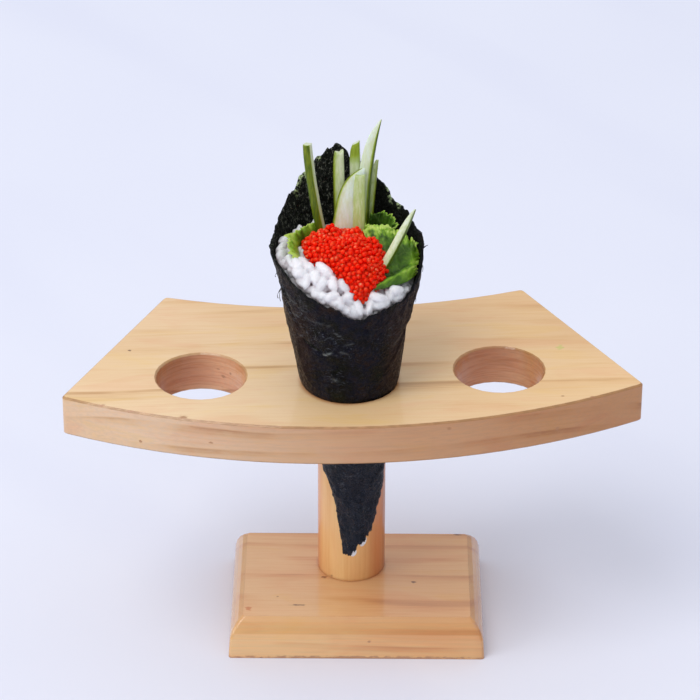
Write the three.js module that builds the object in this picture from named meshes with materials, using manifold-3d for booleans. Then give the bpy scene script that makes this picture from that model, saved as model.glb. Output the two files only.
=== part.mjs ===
// A temaki hand roll standing in the middle hole of its wooden three-hole stand.
// Millimetres, +Z up, -Y is the front. The origin is the centre of the base's underside.
// Round the roll an angle of 0 is the front and 90 degrees is +X.

import * as THREE from 'three';
import { mergeVertices } from 'three/addons/utils/BufferGeometryUtils.js';
import Module from 'manifold-3d';

const wasm = await Module();
wasm.setup();

// ---- Stand -------------------------------------------------------------------------------------
const BASE = {
  width: 118.2, depth: 83.4, height: 19, corner: 1.4,
  lean: 0.4, roundWidth: 6.2, roundHeight: 12.3, roundEnd: 58, levels: 5,
};
const POST = { x: -2.7, y: 9.6, radius: 15.7, sides: 32 };
const BOARD = { x: -2.3, y: -28, top: 141.5, thickness: 19, turn: 3.2, chamfer: 0.8, corner: 2.4 };
const FRONT_EDGE = { half: 129.3, endY: -9.4, middleY: -41.3, steps: 24 };
const REAR_EDGE = { half: 83.2, endY: 79.8, middleY: 66.2, steps: 14 };
const HOLES = { x: -0.7, radius: 20, pitch: 66.6, sideY: 6.2, sides: 28 };
const CORNER_STEPS = 4;

// ---- Nori cone ---------------------------------------------------------------------------------
const ROLL_Y = -28;
// Height, outer radius and centre X of the rolled sheet, from its cut tip to its tallest corner.
const CONE = [
  [44, 5.5, -0.2], [62, 6.9, -0.2], [76, 9.1, -0.4], [97, 13.4, -1.5], [122, 17.2, -2.9],
  [133, 18.4, -3.3], [141.2, 18.6, -3.5], [142, 21.1, -3.7], [150, 22.8, -4], [160, 24.4, -4.1],
  [182, 28.4, -4.3], [208, 33.3, -4.9], [244, 40, -4.3],
];
const PINCH = 6;
// Angle and height of the sheet's upper edge: the V in front, and its corner standing up behind.
const LIP = [
  [-90, 208.5], [-68, 208], [-45, 201.7], [-23, 195.7], [-8, 192.8], [4, 188.2], [30, 190.8],
  [62, 192.5], [80, 198.5], [95, 207], [119, 211.5], [134, 215.4], [148, 219.4], [168, 229],
  [180, 234.2], [189, 238], [199, 235.2], [212, 228.5], [230, 218.5], [250, 211.5], [270, 208.5],
];
// Angle and height of its lower edge, cut askew.
const TIP = [
  [-90, 51], [-50, 51.6], [-17, 53], [0, 56.5], [14, 59], [40, 60.7], [90, 61.5], [180, 57], [270, 51],
];
const NORI = { thickness: 0.7, columns: 36, lowerRows: 8, upperRows: 7 };
// Two waves of wrinkles: depth, turns round the cone, starting angle, millimetres up per radian.
// They fade where the hole holds the sheet tight.
const WRINKLES = [[0.35, 3, 0, 9], [0.21, 5, 40, -6]];
const TIGHT = { z: 134, reach: 14 };
// The sheet's outer end lies on the layer under it and slants down round the cone to the board.
const SEAM = { foot: 13, height: 141, slant: 1.5, step: 0.35, overlap: 3 };

// ---- Filling -----------------------------------------------------------------------------------
const GAP = 0.3;
const RICE = {
  crown: 206, bank: 205, foot: 53.2, rim: 1, columns: 24, lowerRows: 5, upperRows: 3, topRows: 4,
};
// Under the large leaf the rice is pressed down.
const DIP = { angle: 88, spread: 28, depth: 4.5 };
const GRAIN = { length: 7.2, width: 3.4, sides: 5, levels: 4, pitch: 5.6 };
// How unevenly the grains lie: share of the pitch, share of the radius, millimetres up, and tilt.
const GRAIN_SCATTER = { along: 0.5, across: 0.05, up: 0.9, tilt: 1.2 };
// Rows of grains in the open: share of the cone's radius, then the first and last angle.
const GRAIN_ROWS = [[0.93, -128, 86], [0.8, -126, 76], [0.67, -70, 62], [0.54, -34, 30]];
// Grains on their own: behind the left leaf, and two in the cut tip.
const LONE_GRAINS = [[-21.4, -6.6, 206.2], [-27, -5, 205.6], [2.6, -28.8, 56], [-0.7, -29, 51.6]];
const ROE = {
  x: -6, y: -32, thickness: 6.4, edge: 0.97, columns: 22, rows: 4, eggs: 100, egg: 1.4, spread: 0.985,
};
const GOLDEN_ANGLE = 137.508;
// Angle and radius of the roe's edge about its own middle.
const ROE_EDGE = [
  [-171, 19], [-150, 21.5], [-124, 21], [-96, 18.2], [-72, 17.1], [-48, 14], [-36, 12.4], [-24, 12.7],
  [-12, 13.9], [0, 15.8], [12, 20.3], [24, 21], [36, 19.6], [60, 18.9], [84, 18], [97, 17.4],
  [119, 15.5], [159, 17], [189, 19],
];
const LEAF = { thickness: 0.8 };
const SEED = 20;

const STICK_STATIONS = [0, 0.3, 0.55, 0.75, 0.88, 0.96, 1];
const SKIN_BULGE = 0.32;
// Batons of cucumber. hold says which side runs straight where the tip narrows: -1 left, 1 right.
const STICKS = [
  { foot: [-15.4, -12.2, 203], tip: [-22.6, -6, 246.8], bow: [-0.8, 0, 0], width: 3.4, depth: 3.4,
    turn: -24, tipWidth: 0.9, power: 12, hold: 1 },
  { foot: [-7.9, -9, 199], tip: [-9.2, 0.4, 241], bow: [0, 0, 0], width: 4.7, depth: 3.4,
    turn: 8, tipWidth: 0.8, power: 10, hold: 1 },
  { foot: [-1.6, -3, 199], tip: [-2.1, 2.8, 244.4], bow: [0.4, 0, 0], width: 4.6, depth: 3.4,
    turn: -6, tipWidth: 0.7, power: 12, hold: 1 },
  { foot: [-7.9, -13.6, 200], tip: [-2.4, -6, 236], bow: [0, 0, 0], width: 10.2, depth: 2.4,
    turn: 2, tipWidth: 0.13, power: 6, hold: 1 },
  { foot: [0.2, -17.4, 199], tip: [0.2, -10.4, 234.4], bow: [0, -0.2, 0], width: 5.2, depth: 2.8,
    turn: -4, tipWidth: 0.85, power: 8, hold: 1 },
  { foot: [1.8, -9.4, 199], tip: [7, 2, 255.6], bow: [-1.9, 0, 0], width: 5.8, depth: 2.2,
    turn: -10, tipWidth: 0.08, power: 7, hold: 1 },
  { foot: [3.6, -5.4, 199], tip: [6.6, 4, 234.6], bow: [-0.2, 0, 0], width: 4, depth: 2.8,
    turn: -10, tipWidth: 0.3, power: 5, hold: 1 },
  { foot: [9.8, -36.3, 201], tip: [23.4, -24, 225.4], bow: [0.6, 0, -0.4], width: 3.2, depth: 3.2,
    turn: -25, tipWidth: 0.12, power: 5, hold: 1 },
];

// A finer wave rides on each ruffle, and the edge runs up and down: size, and waves per ruffle.
const FINE_WAVE = { size: 0.4, rate: 1.7, start: 1 };
const UNEVEN_EDGE = { size: 0.1, rate: 0.6 };
// Ruffled strips of lettuce: the line of the foot, its length, and how the strip stands.
const STRIPS = [
  { name: 'lettuce_left', length: 36, height: 6.6, lean: 36, waves: 5.5, ruffle: 1.4, steps: 26, rows: 4,
    foot: [[-19.6, -43, 203.8], [-23.4, -36.5, 205], [-25.8, -28, 205.6], [-24, -18.6, 205.8],
      [-17.6, -11.2, 206.5]] },
  { name: 'lettuce_back', length: 17, height: 8, lean: 18, waves: 3.5, ruffle: 1.3, steps: 20, rows: 4,
    foot: [[1.8, -13.6, 206.6], [6.4, -18.2, 207.4], [10.4, -15, 207.4], [14.6, -18.2, 206.6]] },
];
// The large leaf is stretched over lines that run from beside the roe to the right rim. Its length
// is along them and its width across. The ruffle grows past the fold, and towards the rim.
const FOLDED_LEAF = {
  name: 'lettuce_right', length: 25, width: 35, fold: 0.4, rimRuffle: 0.4, stepsU: 13, stepsV: 10,
  waves: 3.5, ruffle: 1, fan: 0.3, slant: 5,
  lines: [
    [[7.4, -50.4, 195.4], [13, -46.6, 196.6], [19.4, -40, 197.2], [25, -33.4, 198.8]],
    [[6.4, -50, 197.6], [12.2, -46, 199.6], [18.8, -38.8, 201.4], [25, -31, 203.2]],
    [[9.6, -41, 202], [14, -36, 201.2], [19.6, -31, 201.2], [25.8, -26.6, 204.6]],
    [[5.6, -21.6, 211.2], [12.4, -20.6, 211], [19, -19.8, 209.6], [25.4, -22, 208.4]],
  ],
};

const COLOURS = {
  wood: '#dcb98a', postWood: '#cf9250', nori: '#16191c', rice: '#eceae4', roe: '#e0260f',
  lettuce: '#5f9a1f', cucumber: '#c3cf95',
};

// ---- Small helpers -----------------------------------------------------------------------------
const radians = THREE.MathUtils.degToRad;
const vector = (x, y, z) => new THREE.Vector3(x, y, z);

// A repeatable stream of numbers between 0 and 1.
function randomStream(seed) {
  let state = seed;
  return () => {
    state = (state + 0x6d2b79f5) | 0;
    let mixed = Math.imul(state ^ (state >>> 15), 1 | state);
    mixed = (mixed + Math.imul(mixed ^ (mixed >>> 7), 61 | mixed)) ^ mixed;
    return ((mixed ^ (mixed >>> 14)) >>> 0) / 4294967296;
  };
}

// The value at one place of a smooth curve through knots, each [place, value, value ...].
function along(knots, place, column = 1) {
  const last = knots.length - 1;
  let i = 0;
  while (i < last - 1 && place > knots[i + 1][0]) {
    i += 1;
  }
  const slope = (k) => {
    const before = knots[Math.max(k - 1, 0)];
    const after = knots[Math.min(k + 1, last)];
    return (after[column] - before[column]) / (after[0] - before[0]);
  };
  const span = knots[i + 1][0] - knots[i][0];
  const t = (place - knots[i][0]) / span;
  const rise = knots[i + 1][column] - knots[i][column];
  const ease = t * t * (3 - 2 * t);
  const leave = slope(i) * span * t * (1 - t) * (1 - t);
  const arrive = slope(i + 1) * span * t * t * (1 - t);
  return knots[i][column] + rise * ease + leave - arrive;
}

// An angle in degrees, brought into the 360 degrees that start at the given one.
function wrapped(angle, start) {
  return start + ((((angle - start) % 360) + 360) % 360);
}

// A closed geometry from points and triangles, without repeated points, with its faces outward.
function closedGeometry(points, triangles) {
  const loose = new THREE.BufferGeometry().setFromPoints(points);
  loose.setIndex(triangles);
  const geometry = mergeVertices(loose, 1e-4);
  const position = geometry.attributes.position;
  const corner = (k) => new THREE.Vector3().fromBufferAttribute(position, k);
  const index = [];
  let volume = 0;
  for (let i = 0; i < geometry.index.count; i += 3) {
    const [a, b, c] = [0, 1, 2].map((k) => geometry.index.getX(i + k));
    if (a !== b && b !== c && c !== a) {
      volume += corner(a).dot(corner(b).cross(corner(c)));
      index.push(a, b, c);
    }
  }
  geometry.setIndex(volume > 0 ? index : index.reverse());
  return geometry;
}

// A solid skinned over closed rings of equal length. Its first and last rings are shut.
function skinned(rings, firstCentre, lastCentre) {
  const count = rings[0].length;
  const rows = [Array(count).fill(firstCentre), ...rings, Array(count).fill(lastCentre)];
  const triangles = [];
  for (let i = 0; i < rows.length - 1; i += 1) {
    for (let j = 0; j < count; j += 1) {
      const a = i * count + j;
      const b = i * count + ((j + 1) % count);
      triangles.push(a, b, a + count, b, b + count, a + count);
    }
  }
  return closedGeometry(rows.flat(), triangles);
}

// A thin solid between two grids of points, both split into triangles alike.
function sheet(front, back, round = false) {
  const rows = front.length;
  const columns = front[0].length;
  const spans = round ? columns : columns - 1;
  const size = rows * columns;
  const at = (i, j) => i * columns + (j % columns);
  const triangles = [];
  const wall = (a, b) => triangles.push(a, a + size, b, b, a + size, b + size);
  for (let i = 0; i < rows - 1; i += 1) {
    for (let j = 0; j < spans; j += 1) {
      const [a, b, c, d] = [at(i, j), at(i, j + 1), at(i + 1, j), at(i + 1, j + 1)];
      triangles.push(a, b, c, b, d, c);
      triangles.push(a + size, c + size, b + size, b + size, c + size, d + size);
    }
  }
  for (let j = 0; j < spans; j += 1) {
    wall(at(0, j), at(0, j + 1));
    wall(at(rows - 1, j + 1), at(rows - 1, j));
  }
  for (let i = 0; i < rows - 1 && !round; i += 1) {
    wall(at(i + 1, 0), at(i, 0));
    wall(at(i, columns - 1), at(i + 1, columns - 1));
  }
  return closedGeometry([...front.flat(), ...back.flat()], triangles);
}

// A sheet of one thickness on both sides of a surface given by pointAt(u, v).
function leaf(pointAt, stepsU, stepsV, thickness, margin) {
  const front = [];
  const back = [];
  for (let i = 0; i <= stepsU; i += 1) {
    const frontRow = [];
    const backRow = [];
    for (let j = 0; j <= stepsV; j += 1) {
      const u = -margin + (1 + 2 * margin) * (i / stepsU);
      const v = -margin + (1 + 2 * margin) * (j / stepsV);
      const small = 1e-3;
      const alongU = pointAt(u + small, v).sub(pointAt(u - small, v));
      const alongV = pointAt(u, v + small).sub(pointAt(u, v - small));
      const normal = alongU.cross(alongV).setLength(thickness / 2);
      frontRow.push(pointAt(u, v).add(normal));
      backRow.push(pointAt(u, v).sub(normal));
    }
    front.push(frontRow);
    back.push(backRow);
  }
  return sheet(front, back);
}

function toManifold(geometry) {
  const bare = geometry.clone();
  bare.deleteAttribute('normal');
  bare.deleteAttribute('uv');
  const merged = mergeVertices(bare, 1e-4);
  return new wasm.Manifold(new wasm.Mesh({
    numProp: 3,
    vertProperties: merged.attributes.position.array,
    triVerts: new Uint32Array(merged.index.array),
  }));
}

// The largest body of a cut or joined solid, which leaves out loose scraps.
function toGeometry(manifold) {
  const bodies = manifold.decompose().sort((a, b) => b.volume() - a.volume());
  const mesh = bodies[0].getMesh();
  const geometry = new THREE.BufferGeometry();
  geometry.setAttribute('position', new THREE.BufferAttribute(mesh.vertProperties, 3));
  geometry.setIndex(new THREE.BufferAttribute(mesh.triVerts, 1));
  return geometry;
}

const joined = (geometries) => wasm.Manifold.union(geometries.map(toManifold));

// ---- Stand -------------------------------------------------------------------------------------
function roundedRectangle(halfX, halfY, corner, z) {
  const points = [];
  const corners = [[1, 1, 0], [-1, 1, 90], [-1, -1, 180], [1, -1, 270]];
  for (const [signX, signY, start] of corners) {
    for (let k = 0; k <= CORNER_STEPS; k += 1) {
      const angle = radians(start + (90 * k) / CORNER_STEPS);
      const x = signX * (halfX - corner) + corner * Math.cos(angle);
      const y = signY * (halfY - corner) + corner * Math.sin(angle);
      points.push(vector(x, y, z));
    }
  }
  return points;
}

// The base's sides lean in a little and curve over to an edge round its top face.
function baseGeometry() {
  const { width, depth, height, corner, lean, roundWidth, roundHeight, roundEnd, levels } = BASE;
  const last = radians(roundEnd);
  const ring = (inset, z) => roundedRectangle(width / 2 - inset, depth / 2 - inset, corner, z);
  const rings = [ring(0, 0)];
  for (let k = 0; k <= levels; k += 1) {
    const angle = (last * k) / levels;
    const inset = lean + (roundWidth * (1 - Math.cos(angle))) / (1 - Math.cos(last));
    rings.push(ring(inset, height - roundHeight * (1 - Math.sin(angle) / Math.sin(last))));
  }
  return skinned(rings, vector(0, 0, 0), vector(0, 0, height));
}

function postGeometry() {
  const height = BOARD.top - BOARD.thickness - BASE.height;
  const geometry = new THREE.CylinderGeometry(POST.radius, POST.radius, height, POST.sides);
  return geometry.rotateX(Math.PI / 2).translate(0, 0, BASE.height + height / 2);
}

// Points along an arc from -X to +X, given its ends and middle, stopped short of both ends.
function edgeArc({ half, endY, middleY, steps }, shortBy) {
  const sagitta = endY - middleY;
  const radius = (half ** 2 + sagitta ** 2) / (2 * sagitta);
  const reach = Math.asin(half / radius) - shortBy / radius;
  const points = [];
  for (let k = 0; k <= steps; k += 1) {
    const angle = reach * ((2 * k) / steps - 1);
    points.push(new THREE.Vector2(radius * Math.sin(angle), middleY + radius * (1 - Math.cos(angle))));
  }
  return points;
}

// A rounded corner between two points on either side of it.
function cornerCurve(from, corner, to) {
  return new THREE.QuadraticBezierCurve(from, corner, to).getPoints(CORNER_STEPS).slice(1, -1);
}

// The board is a sector of a ring, curved forward at both long edges.
function boardShape() {
  const front = edgeArc(FRONT_EDGE, BOARD.corner);
  const rear = edgeArc(REAR_EDGE, BOARD.corner).reverse();
  const frontRight = new THREE.Vector2(FRONT_EDGE.half, FRONT_EDGE.endY);
  const rearRight = new THREE.Vector2(REAR_EDGE.half, REAR_EDGE.endY);
  const side = rearRight.clone().sub(frontRight).setLength(BOARD.corner);
  const sideFoot = frontRight.clone().add(side);
  const sideHead = rearRight.clone().sub(side);
  const right = [
    ...cornerCurve(front.at(-1), frontRight, sideFoot), sideFoot, sideHead,
    ...cornerCurve(sideHead, rearRight, rear[0]),
  ];
  const left = right.map((point) => new THREE.Vector2(-point.x, point.y)).reverse();
  const shape = new THREE.Shape([...front, ...right, ...rear, ...left]);
  for (const [x, y] of [[0, 0], [-HOLES.pitch, HOLES.sideY], [HOLES.pitch, HOLES.sideY]]) {
    const centre = new THREE.Vector2(HOLES.x + x, y);
    const rim = new THREE.Vector2(HOLES.x + x + HOLES.radius, y);
    const hole = [];
    for (let k = 0; k < HOLES.sides; k += 1) {
      hole.push(rim.clone().rotateAround(centre, (2 * Math.PI * k) / HOLES.sides));
    }
    shape.holes.push(new THREE.Path(hole));
  }
  return shape;
}

function boardGeometry() {
  const geometry = new THREE.ExtrudeGeometry(boardShape(), {
    depth: BOARD.thickness - 2 * BOARD.chamfer,
    bevelEnabled: true,
    bevelThickness: BOARD.chamfer,
    bevelSize: BOARD.chamfer,
    bevelOffset: -BOARD.chamfer,
    bevelSegments: 1,
  });
  return geometry.translate(0, 0, BOARD.chamfer);
}

// ---- Nori --------------------------------------------------------------------------------------
const lipHeight = (angle) => along(LIP, wrapped(angle, LIP[0][0]));
const tipHeight = (angle) => along(TIP, wrapped(angle, TIP[0][0]));

function coneRadius(z, angle) {
  const loose = 1 - Math.exp(-(((z - TIGHT.z) / TIGHT.reach) ** 2));
  let radius = along(CONE, z);
  for (const [depth, turns, start, pitch] of WRINKLES) {
    radius += depth * loose * Math.sin(radians(turns * angle + start) + z / pitch);
  }
  return radius;
}

function onCone(radius, z, angle) {
  const x = along(CONE, z, 2) + radius * Math.sin(radians(angle));
  return vector(x, ROLL_Y - radius * Math.cos(radians(angle)), z);
}

function seamAngle(z) {
  return SEAM.foot + SEAM.slant * Math.max(0, z - SEAM.height);
}

// Heights of rows from a foot to a top. Two rows mark the step where the soft roll, pinched by its
// hole, swells out over the rim.
function rowHeights(foot, top, lowerRows, upperRows) {
  const [[pinched], [swollen]] = CONE.slice(PINCH, PINCH + 2);
  const heights = [];
  for (let i = 0; i <= lowerRows; i += 1) {
    heights.push(foot + ((pinched - foot) * i) / lowerRows);
  }
  for (let i = 0; i <= upperRows; i += 1) {
    heights.push(swollen + ((top - swollen) * i) / upperRows);
  }
  return heights;
}

// The rolled sheet as a tube of one wall, grown all round by the margin.
function noriGeometry(margin) {
  const { columns, lowerRows, upperRows, thickness } = NORI;
  const outer = [];
  const inner = [];
  rowHeights(TIP[0][1], LIP[0][1], lowerRows, upperRows).forEach((level, i) => {
    const outerRow = [];
    const innerRow = [];
    for (let j = 0; j <= columns; j += 1) {
      const turn = j / columns;
      const angle = seamAngle(level) + turn * (360 - SEAM.overlap);
      const foot = tipHeight(angle) - margin;
      const z = rowHeights(foot, lipHeight(angle) + margin, lowerRows, upperRows)[i];
      const radius = coneRadius(z, angle);
      outerRow.push(onCone(radius + SEAM.step * turn + margin, z, angle));
      innerRow.push(onCone(radius - thickness - margin, z, angle));
    }
    outer.push(outerRow);
    inner.push(innerRow);
  });
  return sheet(outer, inner, true);
}

// ---- Cucumber ----------------------------------------------------------------------------------
// A baton along a bent line. Its front face bulges a little, as its green skin does.
function stickGeometry({ foot, tip, bow, width, depth, turn, tipWidth, power, hold }, margin) {
  const start = vector(...foot);
  const end = vector(...tip);
  const direction = end.clone().sub(start).normalize();
  start.addScaledVector(direction, -margin);
  end.addScaledVector(direction, margin);
  const middle = start.clone().lerp(end, 0.5).add(vector(...bow).multiplyScalar(2));
  const line = new THREE.QuadraticBezierCurve3(start, middle, end);
  const across = vector(Math.cos(radians(turn)), Math.sin(radians(turn)), 0);
  const inward = direction.clone().cross(across).normalize();
  across.copy(inward).cross(direction);
  const outline = [[-1, 1], [-1, -1], [0, -1 - SKIN_BULGE], [1, -1], [1, 1]];
  const rings = STICK_STATIONS.map((t) => {
    const share = 1 - (1 - tipWidth) * t ** power;
    const centre = line.getPoint(t).addScaledVector(across, (hold * width * (1 - share)) / 2);
    const halfWidth = (width * share) / 2 + margin;
    const halfDepth = (depth * Math.sqrt(share)) / 2 + margin;
    return outline.map(([x, y]) => centre.clone()
      .addScaledVector(across, x * halfWidth).addScaledVector(inward, y * halfDepth));
  });
  const mean = (ring) => ring.reduce((sum, p) => sum.add(p), vector(0, 0, 0)).divideScalar(ring.length);
  return skinned(rings, mean(rings[0]), mean(rings.at(-1)));
}

// ---- Lettuce -----------------------------------------------------------------------------------
// Every leaf runs on straight past its ends, where a margin asks for places outside 0 to 1.
function stripGeometry({ foot, length, height, lean, waves, ruffle, steps, rows }, margin) {
  const line = new THREE.CatmullRomCurve3(foot.map((point) => vector(...point)));
  const pointAt = (u, v) => {
    const inside = THREE.MathUtils.clamp(u, 0, 1);
    const base = line.getPoint(inside).addScaledVector(line.getTangent(inside), (u - inside) * length);
    const outward = vector(base.x - CONE.at(-2)[2], base.y - ROLL_Y, 0).normalize();
    const turn = 2 * Math.PI * waves * u;
    const wave = Math.sin(turn) + FINE_WAVE.size * Math.sin(turn * FINE_WAVE.rate + FINE_WAVE.start);
    const reach = height * v * (1 + UNEVEN_EDGE.size * Math.sin(turn * UNEVEN_EDGE.rate));
    base.addScaledVector(outward, reach * Math.sin(radians(lean)) + ruffle * wave * v * v);
    base.z += reach * Math.cos(radians(lean));
    return base;
  };
  return leaf(pointAt, steps, rows, LEAF.thickness + 2 * margin, margin / height);
}

function foldedLeafGeometry(fold, margin) {
  const rails = fold.lines.map((points) => new THREE.CatmullRomCurve3(points.map((p) => vector(...p))));
  const pointAt = (u, v) => {
    const inU = THREE.MathUtils.clamp(u, 0, 1);
    const inV = THREE.MathUtils.clamp(v, 0, 1);
    const rib = new THREE.CatmullRomCurve3(rails.map((rail) => rail.getPoint(inU)));
    const point = rib.getPoint(inV);
    point.addScaledVector(rails[1].getTangent(inU), (u - inU) * fold.length);
    point.addScaledVector(rib.getTangent(inV), (v - inV) * fold.width);
    const loose = Math.max(inV - fold.fold, 0) / (1 - fold.fold) + fold.rimRuffle * inU * inU;
    const turn = 2 * Math.PI * fold.waves * u * (1 - fold.fan * v) + fold.slant * v;
    point.z += fold.ruffle * loose * Math.sin(turn);
    return point;
  };
  return leaf(pointAt, fold.stepsU, fold.stepsV, LEAF.thickness + 2 * margin, margin / fold.length);
}

// ---- Rice --------------------------------------------------------------------------------------
// The rice fills the cone and rises from just under the lip to a crown in the middle.
function riceEdge(angle) {
  const off = wrapped(angle - DIP.angle, -180) / DIP.spread;
  return Math.min(lipHeight(angle) - RICE.rim, RICE.bank) - DIP.depth * Math.exp(-off * off);
}

// The rice clears the deepest wrinkle of the sheet.
function riceWallRadius(z) {
  const deepest = WRINKLES.reduce((sum, [depth]) => sum + depth, 0);
  return along(CONE, z) - NORI.thickness - GAP - deepest;
}

function riceTop(share, angle) {
  const edge = riceEdge(angle);
  const z = edge + (RICE.crown - edge) * (1 - share * share);
  return onCone(share * riceWallRadius(edge), z, angle);
}

function riceCore() {
  const { columns, lowerRows, upperRows, topRows } = RICE;
  const angles = Array.from({ length: columns }, (_, j) => (360 * j) / columns);
  const rings = [];
  for (let i = 0; i <= lowerRows + upperRows + 1; i += 1) {
    rings.push(angles.map((angle) => {
      const foot = tipHeight(angle) + RICE.rim;
      const z = rowHeights(foot, riceEdge(angle), lowerRows, upperRows)[i];
      return onCone(riceWallRadius(z), z, angle);
    }));
  }
  for (let i = topRows - 1; i > 0; i -= 1) {
    rings.push(angles.map((angle) => riceTop(i / topRows, angle)));
  }
  return skinned(rings, onCone(0, RICE.foot, 0), onCone(0, RICE.crown, 0));
}

function grainGeometry(centre, direction) {
  const grain = new THREE.SphereGeometry(1, GRAIN.sides, GRAIN.levels);
  grain.scale(GRAIN.width / 2, GRAIN.length / 2, GRAIN.width / 2);
  grain.applyQuaternion(new THREE.Quaternion().setFromUnitVectors(vector(0, 1, 0), direction));
  return grain.translate(centre.x, centre.y, centre.z);
}

// Grains lie on the slope of the rice in the open, turned every way.
function riceGrains() {
  const random = randomStream(SEED);
  const eitherSide = (size) => size * (random() - 0.5);
  const grains = [];
  const anyDirection = () => {
    const turn = 2 * Math.PI * random();
    return vector(Math.cos(turn), Math.sin(turn), eitherSide(GRAIN_SCATTER.tilt)).normalize();
  };
  for (const [share, first, last] of GRAIN_ROWS) {
    const radius = share * riceWallRadius(RICE.bank);
    const count = Math.round((radians(last - first) * radius) / GRAIN.pitch);
    for (let k = 0; k <= count; k += 1) {
      const angle = first + ((last - first) * (k + eitherSide(GRAIN_SCATTER.along))) / count;
      const centre = riceTop(share * (1 + eitherSide(GRAIN_SCATTER.across)), angle);
      centre.z += GRAIN_SCATTER.up * random();
      grains.push(grainGeometry(centre, anyDirection()));
    }
  }
  for (const place of LONE_GRAINS) {
    grains.push(grainGeometry(vector(...place), anyDirection()));
  }
  return grains;
}

// ---- Roe ---------------------------------------------------------------------------------------
const roeReach = (angle) => along(ROE_EDGE, wrapped(angle, ROE_EDGE[0][0]));

// The roe lies on the rice in a low heap that is rounded off at its edge. This is a place on it,
// at a share of the way from its middle to its edge, with the heap grown by the margin.
function roeTop(share, angle, margin = 0) {
  const radius = share * (roeReach(angle) + margin);
  const x = ROE.x + radius * Math.sin(radians(angle));
  const y = ROE.y - radius * Math.cos(radians(angle));
  const offX = x - along(CONE, RICE.bank, 2);
  const offY = y - ROLL_Y;
  const round = THREE.MathUtils.radToDeg(Math.atan2(offX, -offY));
  const across = Math.hypot(offX, offY) / riceWallRadius(RICE.bank);
  const bed = riceTop(Math.min(across, 1), round).z;
  return vector(x, y, bed + margin + ROE.thickness * Math.sqrt(1 - ROE.edge * share ** 3));
}

function roeCore(margin) {
  const angles = Array.from({ length: ROE.columns }, (_, j) => (360 * j) / ROE.columns);
  const down = vector(0, 0, -ROE.thickness - margin);
  const rings = [angles.map((angle) => roeTop(1, angle, margin).add(down))];
  for (let i = ROE.rows; i > 0; i -= 1) {
    rings.push(angles.map((angle) => roeTop(Math.sqrt(i / ROE.rows), angle, margin)));
  }
  const crown = roeTop(0, 0, margin);
  return skinned(rings, crown.clone().addScaledVector(down, 2), crown);
}

// Eggs at even distances, from the middle of the heap out in a sunflower's spiral.
function roeEggs() {
  const eggs = [];
  for (let k = 0; k < ROE.eggs; k += 1) {
    const share = ROE.spread * Math.sqrt((k + 0.5) / ROE.eggs);
    const centre = roeTop(share, wrapped(GOLDEN_ANGLE * k, 0));
    const egg = new THREE.OctahedronGeometry(ROE.egg, 0);
    eggs.push(egg.rotateX(k).rotateY(2 * k).translate(centre.x, centre.y, centre.z));
  }
  return eggs;
}

// ---- The whole ---------------------------------------------------------------------------------
const hand_roll = new THREE.Group();

function add(parent, name, geometry, colour, roughness) {
  const material = new THREE.MeshStandardMaterial({ color: colour, roughness, metalness: 0 });
  const mesh = new THREE.Mesh(geometry, material);
  mesh.name = name;
  parent.add(mesh);
  return mesh;
}

function buildStand() {
  add(hand_roll, 'stand_base', baseGeometry(), COLOURS.wood, 0.6);
  const post = add(hand_roll, 'stand_post', postGeometry(), COLOURS.postWood, 0.6);
  post.position.set(POST.x, POST.y, 0);
  const turned = new THREE.Group();
  turned.position.set(BOARD.x, BOARD.y, BOARD.top - BOARD.thickness);
  turned.rotation.z = radians(BOARD.turn);
  add(turned, 'stand_board', boardGeometry(), COLOURS.wood, 0.6);
  hand_roll.add(turned);
}

function buildFood() {
  const keepOut = (list, shape) => joined(list.map((item) => shape(item, GAP)));
  const noriSpace = toManifold(noriGeometry(GAP));
  const stickSpace = keepOut(STICKS, stickGeometry);
  const foldSpace = toManifold(foldedLeafGeometry(FOLDED_LEAF, GAP));
  const greens = stickSpace.add(foldSpace).add(keepOut(STRIPS, stripGeometry));

  add(hand_roll, 'nori', noriGeometry(0), COLOURS.nori, 0.5);
  STICKS.forEach((stick, k) => {
    add(hand_roll, `cucumber_${k + 1}`, stickGeometry(stick, 0), COLOURS.cucumber, 0.4);
  });
  for (const strip of STRIPS) {
    const body = toManifold(stripGeometry(strip, 0)).subtract(stickSpace).subtract(foldSpace);
    add(hand_roll, strip.name, toGeometry(body), COLOURS.lettuce, 0.5);
  }
  const folded = toManifold(foldedLeafGeometry(FOLDED_LEAF, 0)).subtract(stickSpace);
  add(hand_roll, FOLDED_LEAF.name, toGeometry(folded), COLOURS.lettuce, 0.5);

  const core = toManifold(riceCore());
  const roeSpace = toManifold(roeCore(ROE.egg + GAP));
  const grains = joined(riceGrains()).subtract(noriSpace).subtract(roeSpace);
  add(hand_roll, 'rice', toGeometry(core.add(grains).subtract(greens)), COLOURS.rice, 0.45);

  const bed = core.translate(0, 0, GAP);
  const roe = joined([roeCore(0), ...roeEggs()]).subtract(bed).subtract(greens);
  add(hand_roll, 'roe', toGeometry(roe), COLOURS.roe, 0.2);
}

buildStand();
buildFood();

export default hand_roll;
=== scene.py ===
"""Looks of a temaki hand roll in its wooden stand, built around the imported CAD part."""

import random
from math import cos, dist, pi, radians, sin, sqrt

import bpy
import numpy as np
from mathutils import Matrix, Vector, noise


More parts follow.
